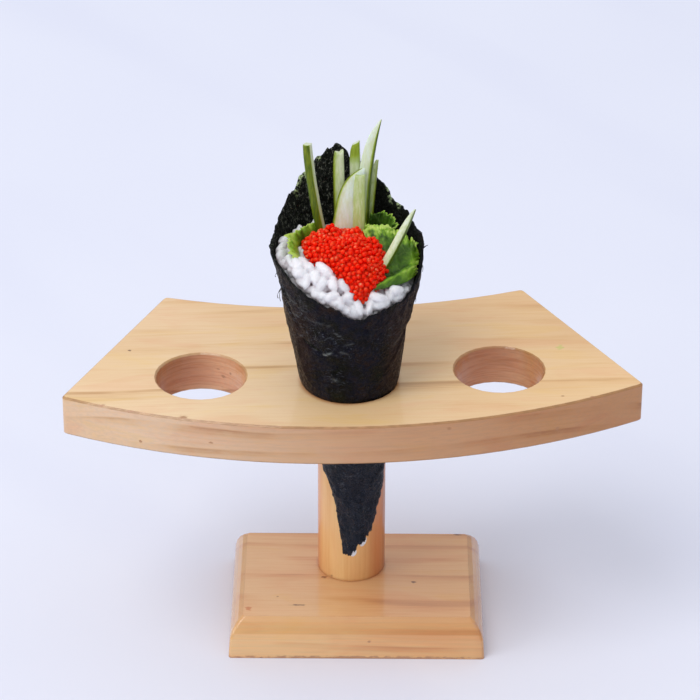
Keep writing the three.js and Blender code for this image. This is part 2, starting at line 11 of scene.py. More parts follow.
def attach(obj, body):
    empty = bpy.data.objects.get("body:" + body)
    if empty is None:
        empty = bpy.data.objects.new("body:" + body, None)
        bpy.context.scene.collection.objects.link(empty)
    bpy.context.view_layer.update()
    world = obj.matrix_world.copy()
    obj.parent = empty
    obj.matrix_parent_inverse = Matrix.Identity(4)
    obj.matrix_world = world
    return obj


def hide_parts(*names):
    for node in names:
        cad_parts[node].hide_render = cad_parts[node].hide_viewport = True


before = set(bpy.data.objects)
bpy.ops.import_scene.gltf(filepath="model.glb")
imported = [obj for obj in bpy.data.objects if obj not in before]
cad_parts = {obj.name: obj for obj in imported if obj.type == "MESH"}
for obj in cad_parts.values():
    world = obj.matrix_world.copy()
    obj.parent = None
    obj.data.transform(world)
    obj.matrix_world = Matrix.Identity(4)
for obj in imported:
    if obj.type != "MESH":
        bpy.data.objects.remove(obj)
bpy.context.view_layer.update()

MM = 0.001
SEED = 7


def linked(name, data):
    """A new object, linked to the scene."""
    thing = bpy.data.objects.new(name, data)
    bpy.context.scene.collection.objects.link(thing)
    return thing


def unit(values):
    """Values kept between 0 and 1."""
    return np.clip(values, 0, 1)


# ---- Camera and light ----
CAMERA = {"target": (-3.64, 0, 140.44), "distance": 1538.5, "elevation": 29.92, "azimuth": 0.26,
          "roll": 0.196, "lens": 175.1, "sensor": 36, "reach": 20}
SKY = {"colour": (0.945, 0.96, 1.015, 1), "horizon": 0.36, "zenith": 0.98}
LIGHTS = [  # name, place, size, power, colour
    ("key", (-1.7, -1.9, 4.4), 2.6, 76, (1.0, 0.985, 0.98)),
    ("side", (-2.9, -1.7, 1.3), 1.6, 22, (1.0, 0.98, 0.99))]
LIT_PLACE = (0, 0, 0.1)


def place_camera():
    """The camera at its distance from the target, with its roll about the line of sight."""
    turn = Matrix.Rotation(radians(CAMERA["azimuth"]), 3, "Z")
    turn = turn @ Matrix.Rotation(radians(90 - CAMERA["elevation"]), 3, "X")
    turn = turn @ Matrix.Rotation(radians(CAMERA["roll"]), 3, "Z")
    camera = linked("camera", bpy.data.cameras.new("camera"))
    camera.data.sensor_width = CAMERA["sensor"]
    camera.data.lens = CAMERA["lens"]
    camera.data.clip_end = CAMERA["reach"]
    camera.matrix_world = turn.to_4x4()
    camera.matrix_world.translation = (Vector(CAMERA["target"]) + turn.col[2] * CAMERA["distance"]) * MM
    bpy.context.scene.camera = camera


def light_scene():
    world = bpy.data.worlds.new("studio")
    bpy.context.scene.world = world
    world.use_nodes = True
    nodes, links = world.node_tree.nodes, world.node_tree.links
    background = nodes["Background"]
    background.inputs["Color"].default_value = SKY["colour"]
    parts = nodes.new("ShaderNodeSeparateXYZ")
    links.new(nodes.new("ShaderNodeTexCoord").outputs["Generated"], parts.inputs[0])
    brighter = nodes.new("ShaderNodeMapRange")
    brighter.inputs["To Min"].default_value = SKY["horizon"]
    brighter.inputs["To Max"].default_value = SKY["zenith"]
    links.new(parts.outputs["Z"], brighter.inputs["Value"])
    links.new(brighter.outputs[0], background.inputs["Strength"])
    for name, place, size, power, colour in LIGHTS:
        light = linked(name, bpy.data.lights.new(name, "AREA"))
        light.data.shape = "DISK"
        light.data.size = size
        light.data.energy = power
        light.data.color = colour
        light.location = place
        light.rotation_euler = (Vector(LIT_PLACE) - Vector(place)).to_track_quat("-Z", "Y").to_euler()
    bpy.context.scene.view_settings.view_transform = "Standard"
    bpy.context.scene.view_settings.look = "None"


# ---- Materials ----
class Material:
    """A node material. Each call adds one node and returns the socket that it gives."""

    def __init__(self, name, **values):
        self.data = bpy.data.materials.new(name)
        self.data.use_nodes = True
        self.tree = self.data.node_tree
        self.surface = self.tree.nodes["Principled BSDF"]
        for socket, value in values.items():
            self.plug(self.surface.inputs[socket.replace("_", " ")], value)

    def plug(self, socket, value):
        if isinstance(value, bpy.types.NodeSocket):
            self.tree.links.new(value, socket)
        else:
            socket.default_value = value

    def add(self, kind, inputs, output=0, **settings):
        node = self.tree.nodes.new(kind)
        for name, value in settings.items():
            setattr(node, name, value)
        for socket, value in inputs.items():
            self.plug(node.inputs[socket], value)
        return node.outputs[output]

    def position(self, scale=(1, 1, 1), turn=(0, 0, 0)):
        """The place in the part, in millimetres, stretched and turned."""
        place = self.add("ShaderNodeTexCoord", {}, "Object")
        scale = [s / MM for s in scale]
        return self.add("ShaderNodeMapping", {"Vector": place, "Scale": scale, "Rotation": turn})

    def attribute(self, name):
        return self.add("ShaderNodeAttribute", {}, "Fac", attribute_name=name)

    def noise(self, place, scale, detail=3, roughness=0.5, distortion=0.0):
        return self.add("ShaderNodeTexNoise", {
            "Vector": place, "Scale": scale, "Detail": detail, "Roughness": roughness,
            "Distortion": distortion})

    def math(self, operation, a, b=0.0, clamp=False):
        return self.add("ShaderNodeMath", {0: a, 1: b}, operation=operation, use_clamp=clamp)

    def times(self, a, b):
        return self.math("MULTIPLY", a, b)

    def plus(self, a, b, clamp=False):
        return self.math("ADD", a, b, clamp)

    def vector(self, operation, *values):
        output = "Value" if operation in ("LENGTH", "DOT_PRODUCT") else "Vector"
        return self.add("ShaderNodeVectorMath", dict(enumerate(values)), output, operation=operation)

    def axis(self, vector, name):
        return self.add("ShaderNodeSeparateXYZ", {"Vector": vector}, name)

    def level(self, normal):
        """How level a face lies: 1 for a top or an underside and 0 for a side."""
        return self.math("ABSOLUTE", self.axis(normal, "Z"))

    def streaked(self, place, scale, detail=3, roughness=0.5, distortion=0.0):
        """Noise with a scale of its own along each axis."""
        place = self.add("ShaderNodeMapping", {"Vector": place, "Scale": scale})
        return self.noise(place, 1.0, detail, roughness, distortion)

    def ramp(self, value, low, high, to_low=0.0, to_high=1.0):
        """A value taken smoothly from one range to another."""
        return self.add("ShaderNodeMapRange", {
            "Value": value, "From Min": low, "From Max": high, "To Min": to_low, "To Max": to_high},
            interpolation_type="SMOOTHSTEP")

    def colours(self, value, stops):
        """A colour for a value, from stops of value and colour."""
        node = self.tree.nodes.new("ShaderNodeValToRGB")
        self.plug(node.inputs["Fac"], value)
        elements = node.color_ramp.elements
        while len(elements) < len(stops):
            elements.new(0.5)
        for element, (place, colour) in zip(elements, stops):
            element.position = place
            element.color = (*colour, 1)
        return node.outputs["Color"]

    def in_rows(self, place, rows):
        """A tone that changes smoothly from row to row of place and tone."""
        tone = rows[0][1]
        for (start, _), (end, after) in zip(rows, rows[1:]):
            tone = self.mix(self.ramp(place, start, end), tone, after)
        return tone

    def mix(self, factor, a, b, blend="MIX"):
        node = self.tree.nodes.new("ShaderNodeMix")
        node.data_type = "RGBA"
        node.blend_type = blend
        for socket, value in ((node.inputs[0], factor), (node.inputs[6], a), (node.inputs[7], b)):
            self.plug(socket, (*value, 1) if isinstance(value, tuple) else value)
        return node.outputs[2]

    def tinted(self, factor, colour, tone):
        """A colour multiplied by a tone, as far as the factor goes."""
        return self.mix(factor, colour, self.mix(1.0, colour, tone, "MULTIPLY"))

    def bump(self, height, distance, strength, normal=None):
        inputs = {"Height": height, "Distance": distance * MM, "Strength": strength}
        if normal is not None:
            inputs["Normal"] = normal
        return self.add("ShaderNodeBump", inputs)

    def occluded(self, distance, low=0.25, high=0.85):
        """How deep a place lies among its neighbours within a distance: 1 in a gap, 0 in the open."""
        open_sky = self.add("ShaderNodeAmbientOcclusion", {"Distance": distance * MM}, "AO", samples=8)
        return self.ramp(open_sky, high, low)

    def bored(self, raw, normal, centre, inner, outer, sign):
        """How close a place is to a bore's rim and to its wall, and its normal made truly round."""
        off = self.vector("MULTIPLY", self.vector("SUBTRACT", raw, (*centre, 0)), (sign, sign, 0))
        gap = self.vector("LENGTH", off)
        rim = self.ramp(gap, outer + 1.5, outer + 0.5)
        near = self.times(self.ramp(gap, outer, inner), self.ramp(self.level(normal), 0.5, 0.2))
        return rim, near, self.mix(near, normal, self.vector("NORMALIZE", off))

    def worn(self, radius):
        """The normal rounded over at the edges, the flat one, and how near an edge lies, 0 to 1."""
        soft = self.add("ShaderNodeBevel", {"Radius": radius * MM}, samples=6)
        flat = self.add("ShaderNodeNewGeometry", {}, "Normal")
        return soft, flat, self.ramp(self.vector("DOT_PRODUCT", soft, flat), 0.995, 0.80)

    def finish(self, colour, roughness, normal):
        for socket, value in (("Base Color", colour), ("Roughness", roughness), ("Normal", normal)):
            self.plug(self.surface.inputs[socket], value)
        return self.data


# Tones that the wood's colour is multiplied by. The first four are the wood's own; the last three are
# painted shade: in the bored walls, on sloped faces, and in corners where parts meet.
ROSY, GOLDEN, SAWN = (0.97, 0.85, 0.82), (1.0, 0.98, 0.82), (0.90, 0.77, 0.66)
PALE_FIBRES, BORE_SHADE = (1.14, 1.12, 1.10), (0.98, 0.82, 0.72)
SLOPE_SHADE, CONTACT_SHADE = (0.88, 0.80, 0.67), (0.66, 0.46, 0.36)
# Painted shade of the sides, from left to right: darker towards the right, away from the light.
BOARD_SIDE_SHADE = ((-120, (0.80, 0.77, 0.84)), (40, (0.60, 0.455, 0.40)), (80, (0.57, 0.40, 0.31)))
BASE_SIDE_SHADE = ((-120, (0.93, 0.94, 0.86)), (40, (0.90, 0.89, 0.80)))
EDGE_RADIUS = 0.6


def wood_figure(m, place, pith, spacing, contrast):
    """Shade, fibres and late rings of planed wood, round a pith line that runs along the grain."""
    bend = m.streaked(place, (0.004, 0.016, 0.016), 2)
    across = m.math("SUBTRACT", m.axis(place, "Y"), pith[0])
    down = m.math("SUBTRACT", m.axis(place, "Z"), pith[1])
    radius = m.math("SQRT", m.plus(m.times(across, across), m.times(down, down)))
    radius = m.plus(radius, m.times(bend, 18.0))
    ring = m.math("FRACT", m.math("DIVIDE", radius, spacing))
    late = m.times(m.math("POWER", m.ramp(ring, 0.25, 0.94), 2.0), m.ramp(ring, 1.0, 0.90))
    thin = m.ramp(m.math("SINE", m.times(radius, 2.6)), -0.2, 1.0, 0.0, 0.2)
    patch = m.ramp(m.streaked(place, (0.012, 0.05, 0.05)), 0.40, 0.66, 0.06, 1.0)
    fibres = m.streaked(place, (0.035, 1.1, 1.1), 4, 0.6)
    pores = m.ramp(m.streaked(place, (0.12, 2.6, 2.6), 3, 0.6), 0.62, 0.76, 0.0, 0.14)
    shade = m.times(m.times(m.plus(late, thin), patch), contrast)
    shade = m.plus(shade, m.ramp(fibres, 0.3, 0.7, -0.10, 0.14))
    return m.plus(shade, pores, clamp=True), fibres, late


def shade_wood_sides(m, colour, raw, normal, fibres, inner, sides):
    """A colour with the tones of sides, of bored walls and of slopes laid over it: painted shade,
    darker towards the right, on walls that face away from the light, inside the bores and on slopes.
    """
    # Bored walls that face right, away from the light, take the darker painted shade.
    walls = m.mix(m.ramp(m.axis(normal, "X"), -0.6, 0.5, 0.05, 1.0), sides[0][1], sides[1][1])
    cuts = m.ramp(m.streaked(raw, (0.05, 0.05, 1.1), 4, 0.6), 0.42, 0.62)
    walls = m.tinted(cuts, walls, SAWN)
    side = m.mix(inner, m.in_rows(m.axis(raw, "X"), sides), walls)
    side = m.tinted(m.ramp(fibres, 0.3, 0.7), side, PALE_FIBRES)
    # Painted shade inside the bores.
    side = m.tinted(inner, m.mix(1.0, colour, side, "MULTIPLY"), BORE_SHADE)
    level = m.level(normal)
    colour = m.mix(m.ramp(level, 0.97, 0.6), colour, side)
    # Painted shade on sloped faces.
    slope = m.times(m.ramp(level, 0.15, 0.45), m.ramp(level, 0.97, 0.85))
    return m.tinted(slope, colour, SLOPE_SHADE)


def wood_material(name, tones, pith, spacing, contrast, along_z=False, turn=0.0, marks=(), rounds=(),
                  sides=BOARD_SIDE_SHADE, painted_light_x=(), painted_shade_y=(), shade_chamfer=False, gloss=0.4):
    """Planed pine in a pale, a warm and a dark tone."""
    m = Material(name, Specular_IOR_Level=0.4, Coat_Weight=gloss, Coat_Roughness=0.09)
    raw = m.position()
    place = m.position(turn=(0, radians(90) if along_z else 0, turn))
    shade, fibres, late = wood_figure(m, place, pith, spacing, contrast)
    pale, warm, dark = tones
    colour = m.colours(shade, [(0.0, pale), (0.45, warm), (1.0, dark)])
    cloud = m.streaked(place, (0.012, 0.03, 0.03), 2)
    colour = m.mix(m.ramp(cloud, 0.4, 0.7, 0.0, 0.5), colour, warm)
    blush = m.streaked(place, (0.02, 0.09, 0.09), 4, 0.6, 0.6)
    colour = m.tinted(m.ramp(blush, 0.48, 0.68, 0.0, 0.6), colour, ROSY)
    colour = m.tinted(m.ramp(blush, 0.46, 0.32, 0.0, 0.7), colour, GOLDEN)
    soft, flat, edge = m.worn(EDGE_RADIUS)
    inner, bore = 0.0, 0.0
    for centre, reach, sign in rounds:
        rim, close, soft = m.bored(raw, soft, centre, *reach, sign)
        inner, bore = m.math("MAXIMUM", inner, close), m.math("MAXIMUM", bore, rim)
    # Painted light and shade across the part and along it.
    for axis, rows in (("X", painted_light_x), ("Y", painted_shade_y)):
        if rows:
            colour = m.mix(1.0, colour, m.in_rows(m.axis(raw, axis), rows), "MULTIPLY")
    if not along_z:
        colour = shade_wood_sides(m, colour, raw, soft, fibres, inner, sides)
    # Painted shade on the chamfer: its faces join the edge mask and are darkened with the edges.
    if shade_chamfer:
        level = m.level(flat)
        edge = m.math("MAXIMUM", edge, m.times(m.ramp(level, 0.4, 0.6), m.ramp(level, 0.95, 0.8)))
    # Painted shade in corners and where parts meet, deeper where the ambient occlusion closes in.
    colour = m.tinted(m.occluded(3.0), colour, CONTACT_SHADE)
    # Darker edges: edge wear, and painted shade where the rounded edges catch the light.
    nicks = m.ramp(m.streaked(raw, (0.22, 0.8, 0.8)), 0.38, 0.60, 0.55, 1.0)
    worn = m.times(m.times(edge, nicks), m.ramp(bore, 0.0, 1.0, 1.0, 0.3))
    colour = m.mix(m.times(worn, 0.88), colour, tuple(0.7 * c for c in dark))
    ragged = m.streaked(place, (0.35, 0.9, 0.9))
    for centre, size, stretch, tone in marks:
        off = m.vector("MULTIPLY", m.vector("SUBTRACT", raw, centre), (1 / stretch, 1, 1))
        gap = m.plus(m.vector("LENGTH", off), m.ramp(ragged, 0.3, 0.7, -0.35 * size, 0.35 * size))
        colour = m.mix(m.ramp(gap, size, 0.45 * size, 0.0, 0.85), colour, tone)
    height = m.plus(m.times(fibres, 0.6), m.times(late, 0.4))
    return m.finish(colour, m.ramp(fibres, 0.2, 0.8, 0.30, 0.46), m.bump(height, 0.12, 0.3, soft))


# Tones of the nori: painted warm reflection on the flanks, dark blue for the lower part, painted sheen
# of bounced light on the lower part; paler felt, the inside, painted glints on the inside's fibres;
# painted highlight on the ridges, green torn flecks, painted highlight on the crumpled creases.
FLANK_REFLECTION, LOW, LOW_SHEEN = (0.026, 0.010, 0.007), (0.003, 0.0045, 0.009), (0.016, 0.0185, 0.026)
FELT, REAR, STRAND_GLINT = (0.024, 0.028, 0.036), (0.005, 0.0065, 0.004), (0.19, 0.20, 0.16)
GLINT, FLECK, CRUMPLE_HIGHLIGHT = (0.48, 0.52, 0.50), (0.56, 0.70, 0.36), (0.24, 0.265, 0.31)


def nori_material():
    """Toasted seaweed: near black with blue, green and brown in it, felted and crinkled, with painted
    reflection, sheen and highlights laid on it.
    """
    m = Material("nori_dry", Specular_IOR_Level=0.16)
    place = m.position()
    x, z = m.axis(place, "X"), m.axis(place, "Z")
    felt = m.noise(place, 0.55, 5, 0.68)
    crease = m.noise(place, 0.26, 4, 0.55, 1.2)
    colour = m.colours(m.noise(place, 0.09, 4, 0.62), [
        (0.34, (0.004, 0.0065, 0.0012)), (0.44, (0.0016, 0.0018, 0.0030)),
        (0.54, (0.0030, 0.0040, 0.014)), (0.68, (0.018, 0.006, 0.003))])
    # Painted reflection of the warm wood on the left and right flanks.
    flank_reflection = m.math("MAXIMUM", m.ramp(x, -17, -25), m.ramp(x, 9, 16))
    colour = m.mix(m.times(flank_reflection, m.ramp(z, 196, 176, 0.0, 0.8)), colour, FLANK_REFLECTION)
    # Painted sheen of bounced light on the lower part: bluer, then lighter.
    below = m.ramp(z, 126, 112)
    colour = m.mix(m.times(below, 0.7), colour, LOW)
    colour = m.mix(below, colour, m.mix(1.0, colour, LOW_SHEEN, "ADD"))
    colour = m.mix(m.ramp(felt, 0.60, 0.72, 0.0, 0.7), colour, FELT)
    # Whitish specks on the inside's fibres: painted glints.
    strand_glints = m.ramp(m.streaked(place, (1.2, 1.2, 0.5), 4, 0.75), 0.55, 0.62)
    strand_glints = m.times(strand_glints, m.ramp(x, 8, -12, 0.12, 1.0))
    rear = m.mix(strand_glints, REAR, STRAND_GLINT)
    torn = m.ramp(m.noise(place, 0.75, 4, 0.6), 0.46, 0.56)
    # Painted highlights on streaky creases where the outside is most crumpled.
    crumple_highlights = m.ramp(m.streaked(place, (0.5, 0.5, 0.9), 5, 0.7, 1.6), 0.545, 0.61)
    crumple_highlights = m.times(crumple_highlights, m.attribute("crumpled"))
    for where, tone in ((m.attribute("inside"), rear), (m.attribute("glint"), GLINT),
                        (m.times(m.attribute("fleck"), torn), FLECK),
                        (crumple_highlights, CRUMPLE_HIGHLIGHT)):
        colour = m.mix(where, colour, tone)
    height = m.plus(m.times(crease, 2.4), m.plus(felt, crumple_highlights))
    return m.finish(colour, m.ramp(felt, 0.38, 0.66, 0.66, 0.16), m.bump(height, 2.0, 1.0))


def rice_material():
    """Cooked grains: white and wet on top, with painted shade, greyer and pinker, where they sink into
    the heap and in the crevices between them.
    """
    m = Material("rice_cooked", Specular_IOR_Level=0.4, Subsurface_Weight=0.9, Subsurface_Scale=0.006,
                 Subsurface_Radius=(1.0, 0.92, 0.9))
    place = m.position()
    # The tone runs from painted shade, greyer and pinker, up to white.
    colour = m.colours(m.attribute("tint"), [
        (0.0, (0.52, 0.45, 0.46)), (0.3, (0.69, 0.64, 0.66)), (0.6, (0.78, 0.75, 0.78)),
        (1.0, (0.86, 0.85, 0.88))])
    cloud = m.noise(place, 0.3, 3)
    colour = m.mix(m.ramp(cloud, 0.42, 0.6, 0.0, 0.35), colour, (0.72, 0.69, 0.73))
    # Painted shade in the crevices between the grains.
    colour = m.tinted(m.occluded(1.6), colour, (0.87, 0.79, 0.80))
    fine = m.noise(place, 0.9, 4, 0.6)
    return m.finish(colour, m.ramp(fine, 0.3, 0.7, 0.16, 0.36), m.bump(fine, 0.5, 0.6))


def roe_material():
    """Wet red beads, each with a painted highlight: a paler spot on the side towards the light."""
    m = Material("roe_wet", Specular_IOR_Level=0.12, Specular_Tint=(1.0, 0.6, 0.45, 1.0),
                 Subsurface_Weight=1.0, Subsurface_Scale=0.0028, Subsurface_Radius=(1.0, 0.1, 0.04))
    colour = m.colours(m.attribute("tint"), [
        (0.0, (1.0, 0.008, 0.002)), (0.4, (1.0, 0.018, 0.004)), (0.7, (1.0, 0.05, 0.014)),
        (1.0, (1.0, 0.28, 0.14))])
    # Painted light: the crevices between the beads are lifted to a clear red, standing in for light that
    # shines through them.
    colour = m.mix(m.occluded(1.0, 0.2, 0.8), colour, (1.0, 0.012, 0.002))
    fine = m.noise(m.position(), 1.2, 2)
    return m.finish(colour, m.ramp(fine, 0.3, 0.7, 0.24, 0.36), m.bump(fine, 0.1, 0.5))


def lettuce_material():
    """Leaf lettuce: pale ribs and a bright frill along the edge, with painted shade in its hollows and
    painted light on its lit parts.
    """
    m = Material("lettuce_fresh", Specular_IOR_Level=0.25, Subsurface_Weight=0.3,
                 Subsurface_Scale=0.002, Subsurface_Radius=(0.6, 1.0, 0.15))
    place = m.position()
    veins = m.add("ShaderNodeTexVoronoi", {"Vector": place, "Scale": 0.13, "Randomness": 1.0},
                  "Distance", feature="DISTANCE_TO_EDGE")
    vein = m.ramp(veins, 0.07, 0.0)
    tone = m.ramp(m.noise(place, 0.14, 3), 0.3, 0.7, -0.2, 0.2)
    # The rim value holds the leaf's own tone together with painted light and shade.
    leaf = m.colours(m.plus(m.attribute("rim"), tone, clamp=True), [
        (0.0, (0.022, 0.060, 0.004)), (0.3, (0.07, 0.17, 0.008)), (0.6, (0.20, 0.38, 0.022)),
        (1.0, (0.48, 0.68, 0.13))])
    colour = m.mix(m.times(vein, 0.09), leaf, (0.40, 0.60, 0.13))
    crumple = m.noise(place, 0.4, 4, 0.55)
    height = m.math("SUBTRACT", crumple, m.times(vein, 0.25))
    return m.finish(colour, m.ramp(crumple, 0.3, 0.7, 0.5, 0.32), m.bump(height, 0.8, 0.6))


def cucumber_material():
    """Moist pale flesh that turns green towards the dark skin."""
    m = Material("cucumber_cut", Specular_IOR_Level=0.25, Subsurface_Weight=0.2,
                 Subsurface_Scale=0.0008, Subsurface_Radius=(0.8, 1.0, 0.4))
    streak = m.noise(m.position((1, 1, 0.14)), 0.9, 4, 0.6)
    green = m.plus(m.attribute("green"), m.ramp(streak, 0.3, 0.7, -0.07, 0.07), clamp=True)
    colour = m.colours(green, [
        (0.0, (0.74, 0.84, 0.77)), (0.18, (0.64, 0.70, 0.47)), (0.4, (0.42, 0.52, 0.19)),
        (0.65, (0.29, 0.39, 0.028)), (0.88, (0.17, 0.22, 0.006)), (1.0, (0.07, 0.12, 0.006))])
    return m.finish(colour, m.ramp(streak, 0.3, 0.7, 0.28, 0.42), m.bump(streak, 0.25, 0.5))


def floor_material():
    """Pale cloth or paper with broad, faint tones across it, and broad diagonal streaks of painted shade
    that stand in for soft creases in the cloth.
    """
    m = Material("floor_paper", Specular_IOR_Level=0.1)
    cloud = m.noise(m.position(), 0.004, 2)
    colour = m.colours(cloud, [(0.3, (0.785, 0.81, 0.925)), (0.7, (0.81, 0.835, 0.94))])
    # Painted shade of soft creases.
    fold_shade = m.streaked(m.position(turn=(0, 0, 0.9)), (0.0016, 0.009, 1), 2, 0.4)
    colour = m.mix(m.ramp(fold_shade, 0.5, 0.68, 0.0, 0.4), colour, (0.74, 0.765, 0.90))
    return m.finish(colour, 0.9, m.bump(cloud, 0.5, 0.1))


# ---- Shapes shared with the CAD part, in millimetres ----
ROLL_Y = -28
CONE = [  # height, outer radius, centre X
    (44, 5.5, -0.2), (62, 6.9, -0.2), (76, 9.1, -0.4), (97, 13.4, -1.5), (122, 17.2, -2.9),
    (133, 18.4, -3.3), (141.2, 18.6, -3.5), (142, 21.1, -3.7), (150, 22.8, -4), (160, 24.4, -4.1),
    (182, 28.4, -4.3), (208, 33.3, -4.9), (244, 40, -4.3)]
PINCHED, SWOLLEN = 141.2, 142
LIP = [  # angle, height
    (-90, 208.5), (-68, 208), (-45, 201.7), (-23, 195.7), (-8, 192.8), (4, 188.2), (30, 190.8),
    (62, 192.5), (80, 198.5), (95, 207), (119, 211.5), (134, 215.4), (148, 219.4), (168, 229),
    (180, 234.2), (189, 238), (199, 235.2), (212, 228.5), (230, 218.5), (250, 211.5), (270, 208.5)]
TIP = [  # angle, height
    (-90, 51), (-50, 51.6), (-17, 53), (0, 56.5), (14, 59), (40, 60.7), (90, 61.5), (180, 57), (270, 51)]
WRINKLES = [(0.35, 3, 0, 9), (0.21, 5, 40, -6)]
TIGHT_Z, TIGHT_REACH = 134, 14
NORI = {"thickness": 0.7, "columns": 290, "lower": 66, "upper": 84, "overlap": 3, "step": 0.5}
SEAM = {"foot": 13, "height": 141, "slant": 1.5}
RICE = {"crown": 206, "bank": 205, "foot": 53.2, "rim": 1, "gap": 0.3}
DIP = {"angle": 88, "spread": 28, "depth": 4.5}
ROE = {"x": -6, "y": -32, "thickness": 6.4, "edge": 0.97}
ROE_EDGE = [  # angle about the heap's own middle, radius
    (-171, 19), (-150, 21.5), (-124, 21), (-96, 18.2), (-72, 17.1), (-48, 14), (-36, 12.4), (-24, 12.7),
    (-12, 13.9), (0, 15.8), (12, 20.3), (24, 21.3), (36, 20.6), (60, 19.9), (84, 18.6), (97, 17.6),
    (119, 15.5), (159, 17), (189, 19)]


def along(knots, place, column=1):
    """The value at a place, or at each of many, on a smooth curve through knots."""
    places = np.array([knot[0] for knot in knots], float)
    values = np.array([knot[column] for knot in knots], float)
    last = len(knots) - 1
    before = np.maximum(np.arange(last + 1) - 1, 0)
    after = np.minimum(np.arange(last + 1) + 1, last)
    slopes = (values[after] - values[before]) / (places[after] - places[before])
    i = np.clip(np.searchsorted(places, place, side="left") - 1, 0, last - 1)
    span = places[i + 1] - places[i]
    t = (place - places[i]) / span
    ease = t * t * (3 - 2 * t)
    swing = slopes[i] * t * (1 - t) ** 2 - slopes[i + 1] * t * t * (1 - t)
    return values[i] + (values[i + 1] - values[i]) * ease + swing * span


def wrapped(angle, start):
    return start + np.mod(angle - start, 360)


def polar(x, y, middle_x, middle_y):
    """Distance and angle about a middle: 0 at the front and 90 on the right."""
    x, y = x - middle_x, y - middle_y
    return np.hypot(x, y), np.degrees(np.arctan2(x, -y))


def lip_height(angle):
    return along(LIP, wrapped(angle, LIP[0][0]))


def tip_height(angle):
    return along(TIP, wrapped(angle, TIP[0][0]))


def cone_radius(z, angle):
    loose = 1 - bell(z, TIGHT_Z, TIGHT_REACH)
    radius = along(CONE, z)
    for depth, turns, start, pitch in WRINKLES:
        radius = radius + depth * loose * np.sin(np.radians(turns * angle + start) + z / pitch)
    return radius


def on_cone(radius, z, angle):
    angle = np.radians(angle)
    x = along(CONE, z, 2) + radius * np.sin(angle)
    y = ROLL_Y - radius * np.cos(angle)
    return np.stack(np.broadcast_arrays(x, y, z), axis=-1)


def rice_edge(angle):
    off = wrapped(angle - DIP["angle"], -180) / DIP["spread"]
    return np.minimum(lip_height(angle) - RICE["rim"], RICE["bank"]) - DIP["depth"] * np.exp(-off * off)


def rice_wall(z):
    deepest = sum(row[0] for row in WRINKLES)
    return along(CONE, z) - NORI["thickness"] - RICE["gap"] - deepest


def rice_top(share, angle):
    edge = rice_edge(angle)
    z = edge + (RICE["crown"] - edge) * (1 - share * share)
    return on_cone(share * rice_wall(edge), z, angle)


def roe_top(share, angle, sink=0.0):
    radius = share * (along(ROE_EDGE, wrapped(angle, ROE_EDGE[0][0])) - sink)
    x = ROE["x"] + radius * np.sin(np.radians(angle))
    y = ROE["y"] - radius * np.cos(np.radians(angle))
    across, angle = polar(x, y, along(CONE, RICE["bank"], 2), ROLL_Y)
    bed = rice_top(np.minimum(across / rice_wall(RICE["bank"]), 1), angle)[..., 2]
    z = bed - sink + ROE["thickness"] * np.sqrt(1 - ROE["edge"] * share ** 3)
    return np.stack(np.broadcast_arrays(x, y, z), axis=-1)


# ---- Mesh helpers ----
ROUGHNESS, LACUNARITY = 0.9, 2.0


def rough(points, size, octaves, offset=0.0):
    """Smooth noise between about -1 and 1 at each point, with features of the given size."""
    flat = np.asarray(points, float).reshape(-1, 3) / size + offset
    values = [noise.fractal(Vector(p), ROUGHNESS, LACUNARITY, octaves) for p in flat]
    return np.array(values).reshape(np.asarray(points).shape[:-1])


def grid_faces(rows, columns, start, round_about, flip=False):
    """Faces of a grid of points, row after row, closed round about or not."""
    faces = []
    for i in range(rows - 1):
        for j in range(columns if round_about else columns - 1):
            a = start + i * columns + j
            b = start + i * columns + (j + 1) % columns
            face = (a, b, b + columns, a + columns)
            faces.append(face[::-1] if flip else face)
    return faces


def sheet_faces(rows, columns, round_about=False):
    """Faces of a thin sheet: a front grid, a back grid and the walls between them."""
    size = rows * columns
    faces = grid_faces(rows, columns, 0, round_about)
    faces += grid_faces(rows, columns, size, round_about, True)

    def wall(a, b):
        faces.append((b, a, a + size, b + size))

    spans = columns if round_about else columns - 1
    for j in range(spans):
        k = (j + 1) % columns
        wall(j, k)
        wall((rows - 1) * columns + k, (rows - 1) * columns + j)
    if not round_about:
        for i in range(rows - 1):
            wall((i + 1) * columns, i * columns)
            wall((i + 1) * columns - 1, (i + 2) * columns - 1)
    return faces


def skin_faces(rows, columns):
    """Faces over closed rings, with a point at each end after the rings."""
    faces = grid_faces(rows, columns, 0, True)
    first, last = rows * columns, rows * columns + 1
    for j in range(columns):
        k = (j + 1) % columns
        faces.append((first, k, j))
        faces.append((last, (rows - 1) * columns + j, (rows - 1) * columns + k))
    return faces


def add_piece(name, points, faces, node, material, attributes):
    mesh = bpy.data.meshes.new(name)
    mesh.from_pydata((np.asarray(points).reshape(-1, 3) * MM).tolist(), [], faces)
    mesh.shade_smooth()
    for label, values in attributes.items():
        data = mesh.attributes.new(label, "FLOAT", "POINT").data
        data.foreach_set("value", np.ascontiguousarray(values, np.float32).ravel())
    mesh.materials.append(material)
    piece = linked(name, mesh)
    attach(piece, "root")
    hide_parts(node)


def compass(angle, up=0):
    """A direction along X, turned by an angle towards Y, with a rise."""
    return np.array([cos(radians(angle)), sin(radians(angle)), up])


def bell(place, middle, reach):
    """1 in the middle, falling smoothly to 0 on both sides."""
    return np.exp(-(((place - middle) / reach) ** 2))


def both(front, back=None):
    """Values for the front of a sheet, then for its back, which takes the same ones by default."""
    return np.concatenate([front.ravel(), (front if back is None else back).ravel()])


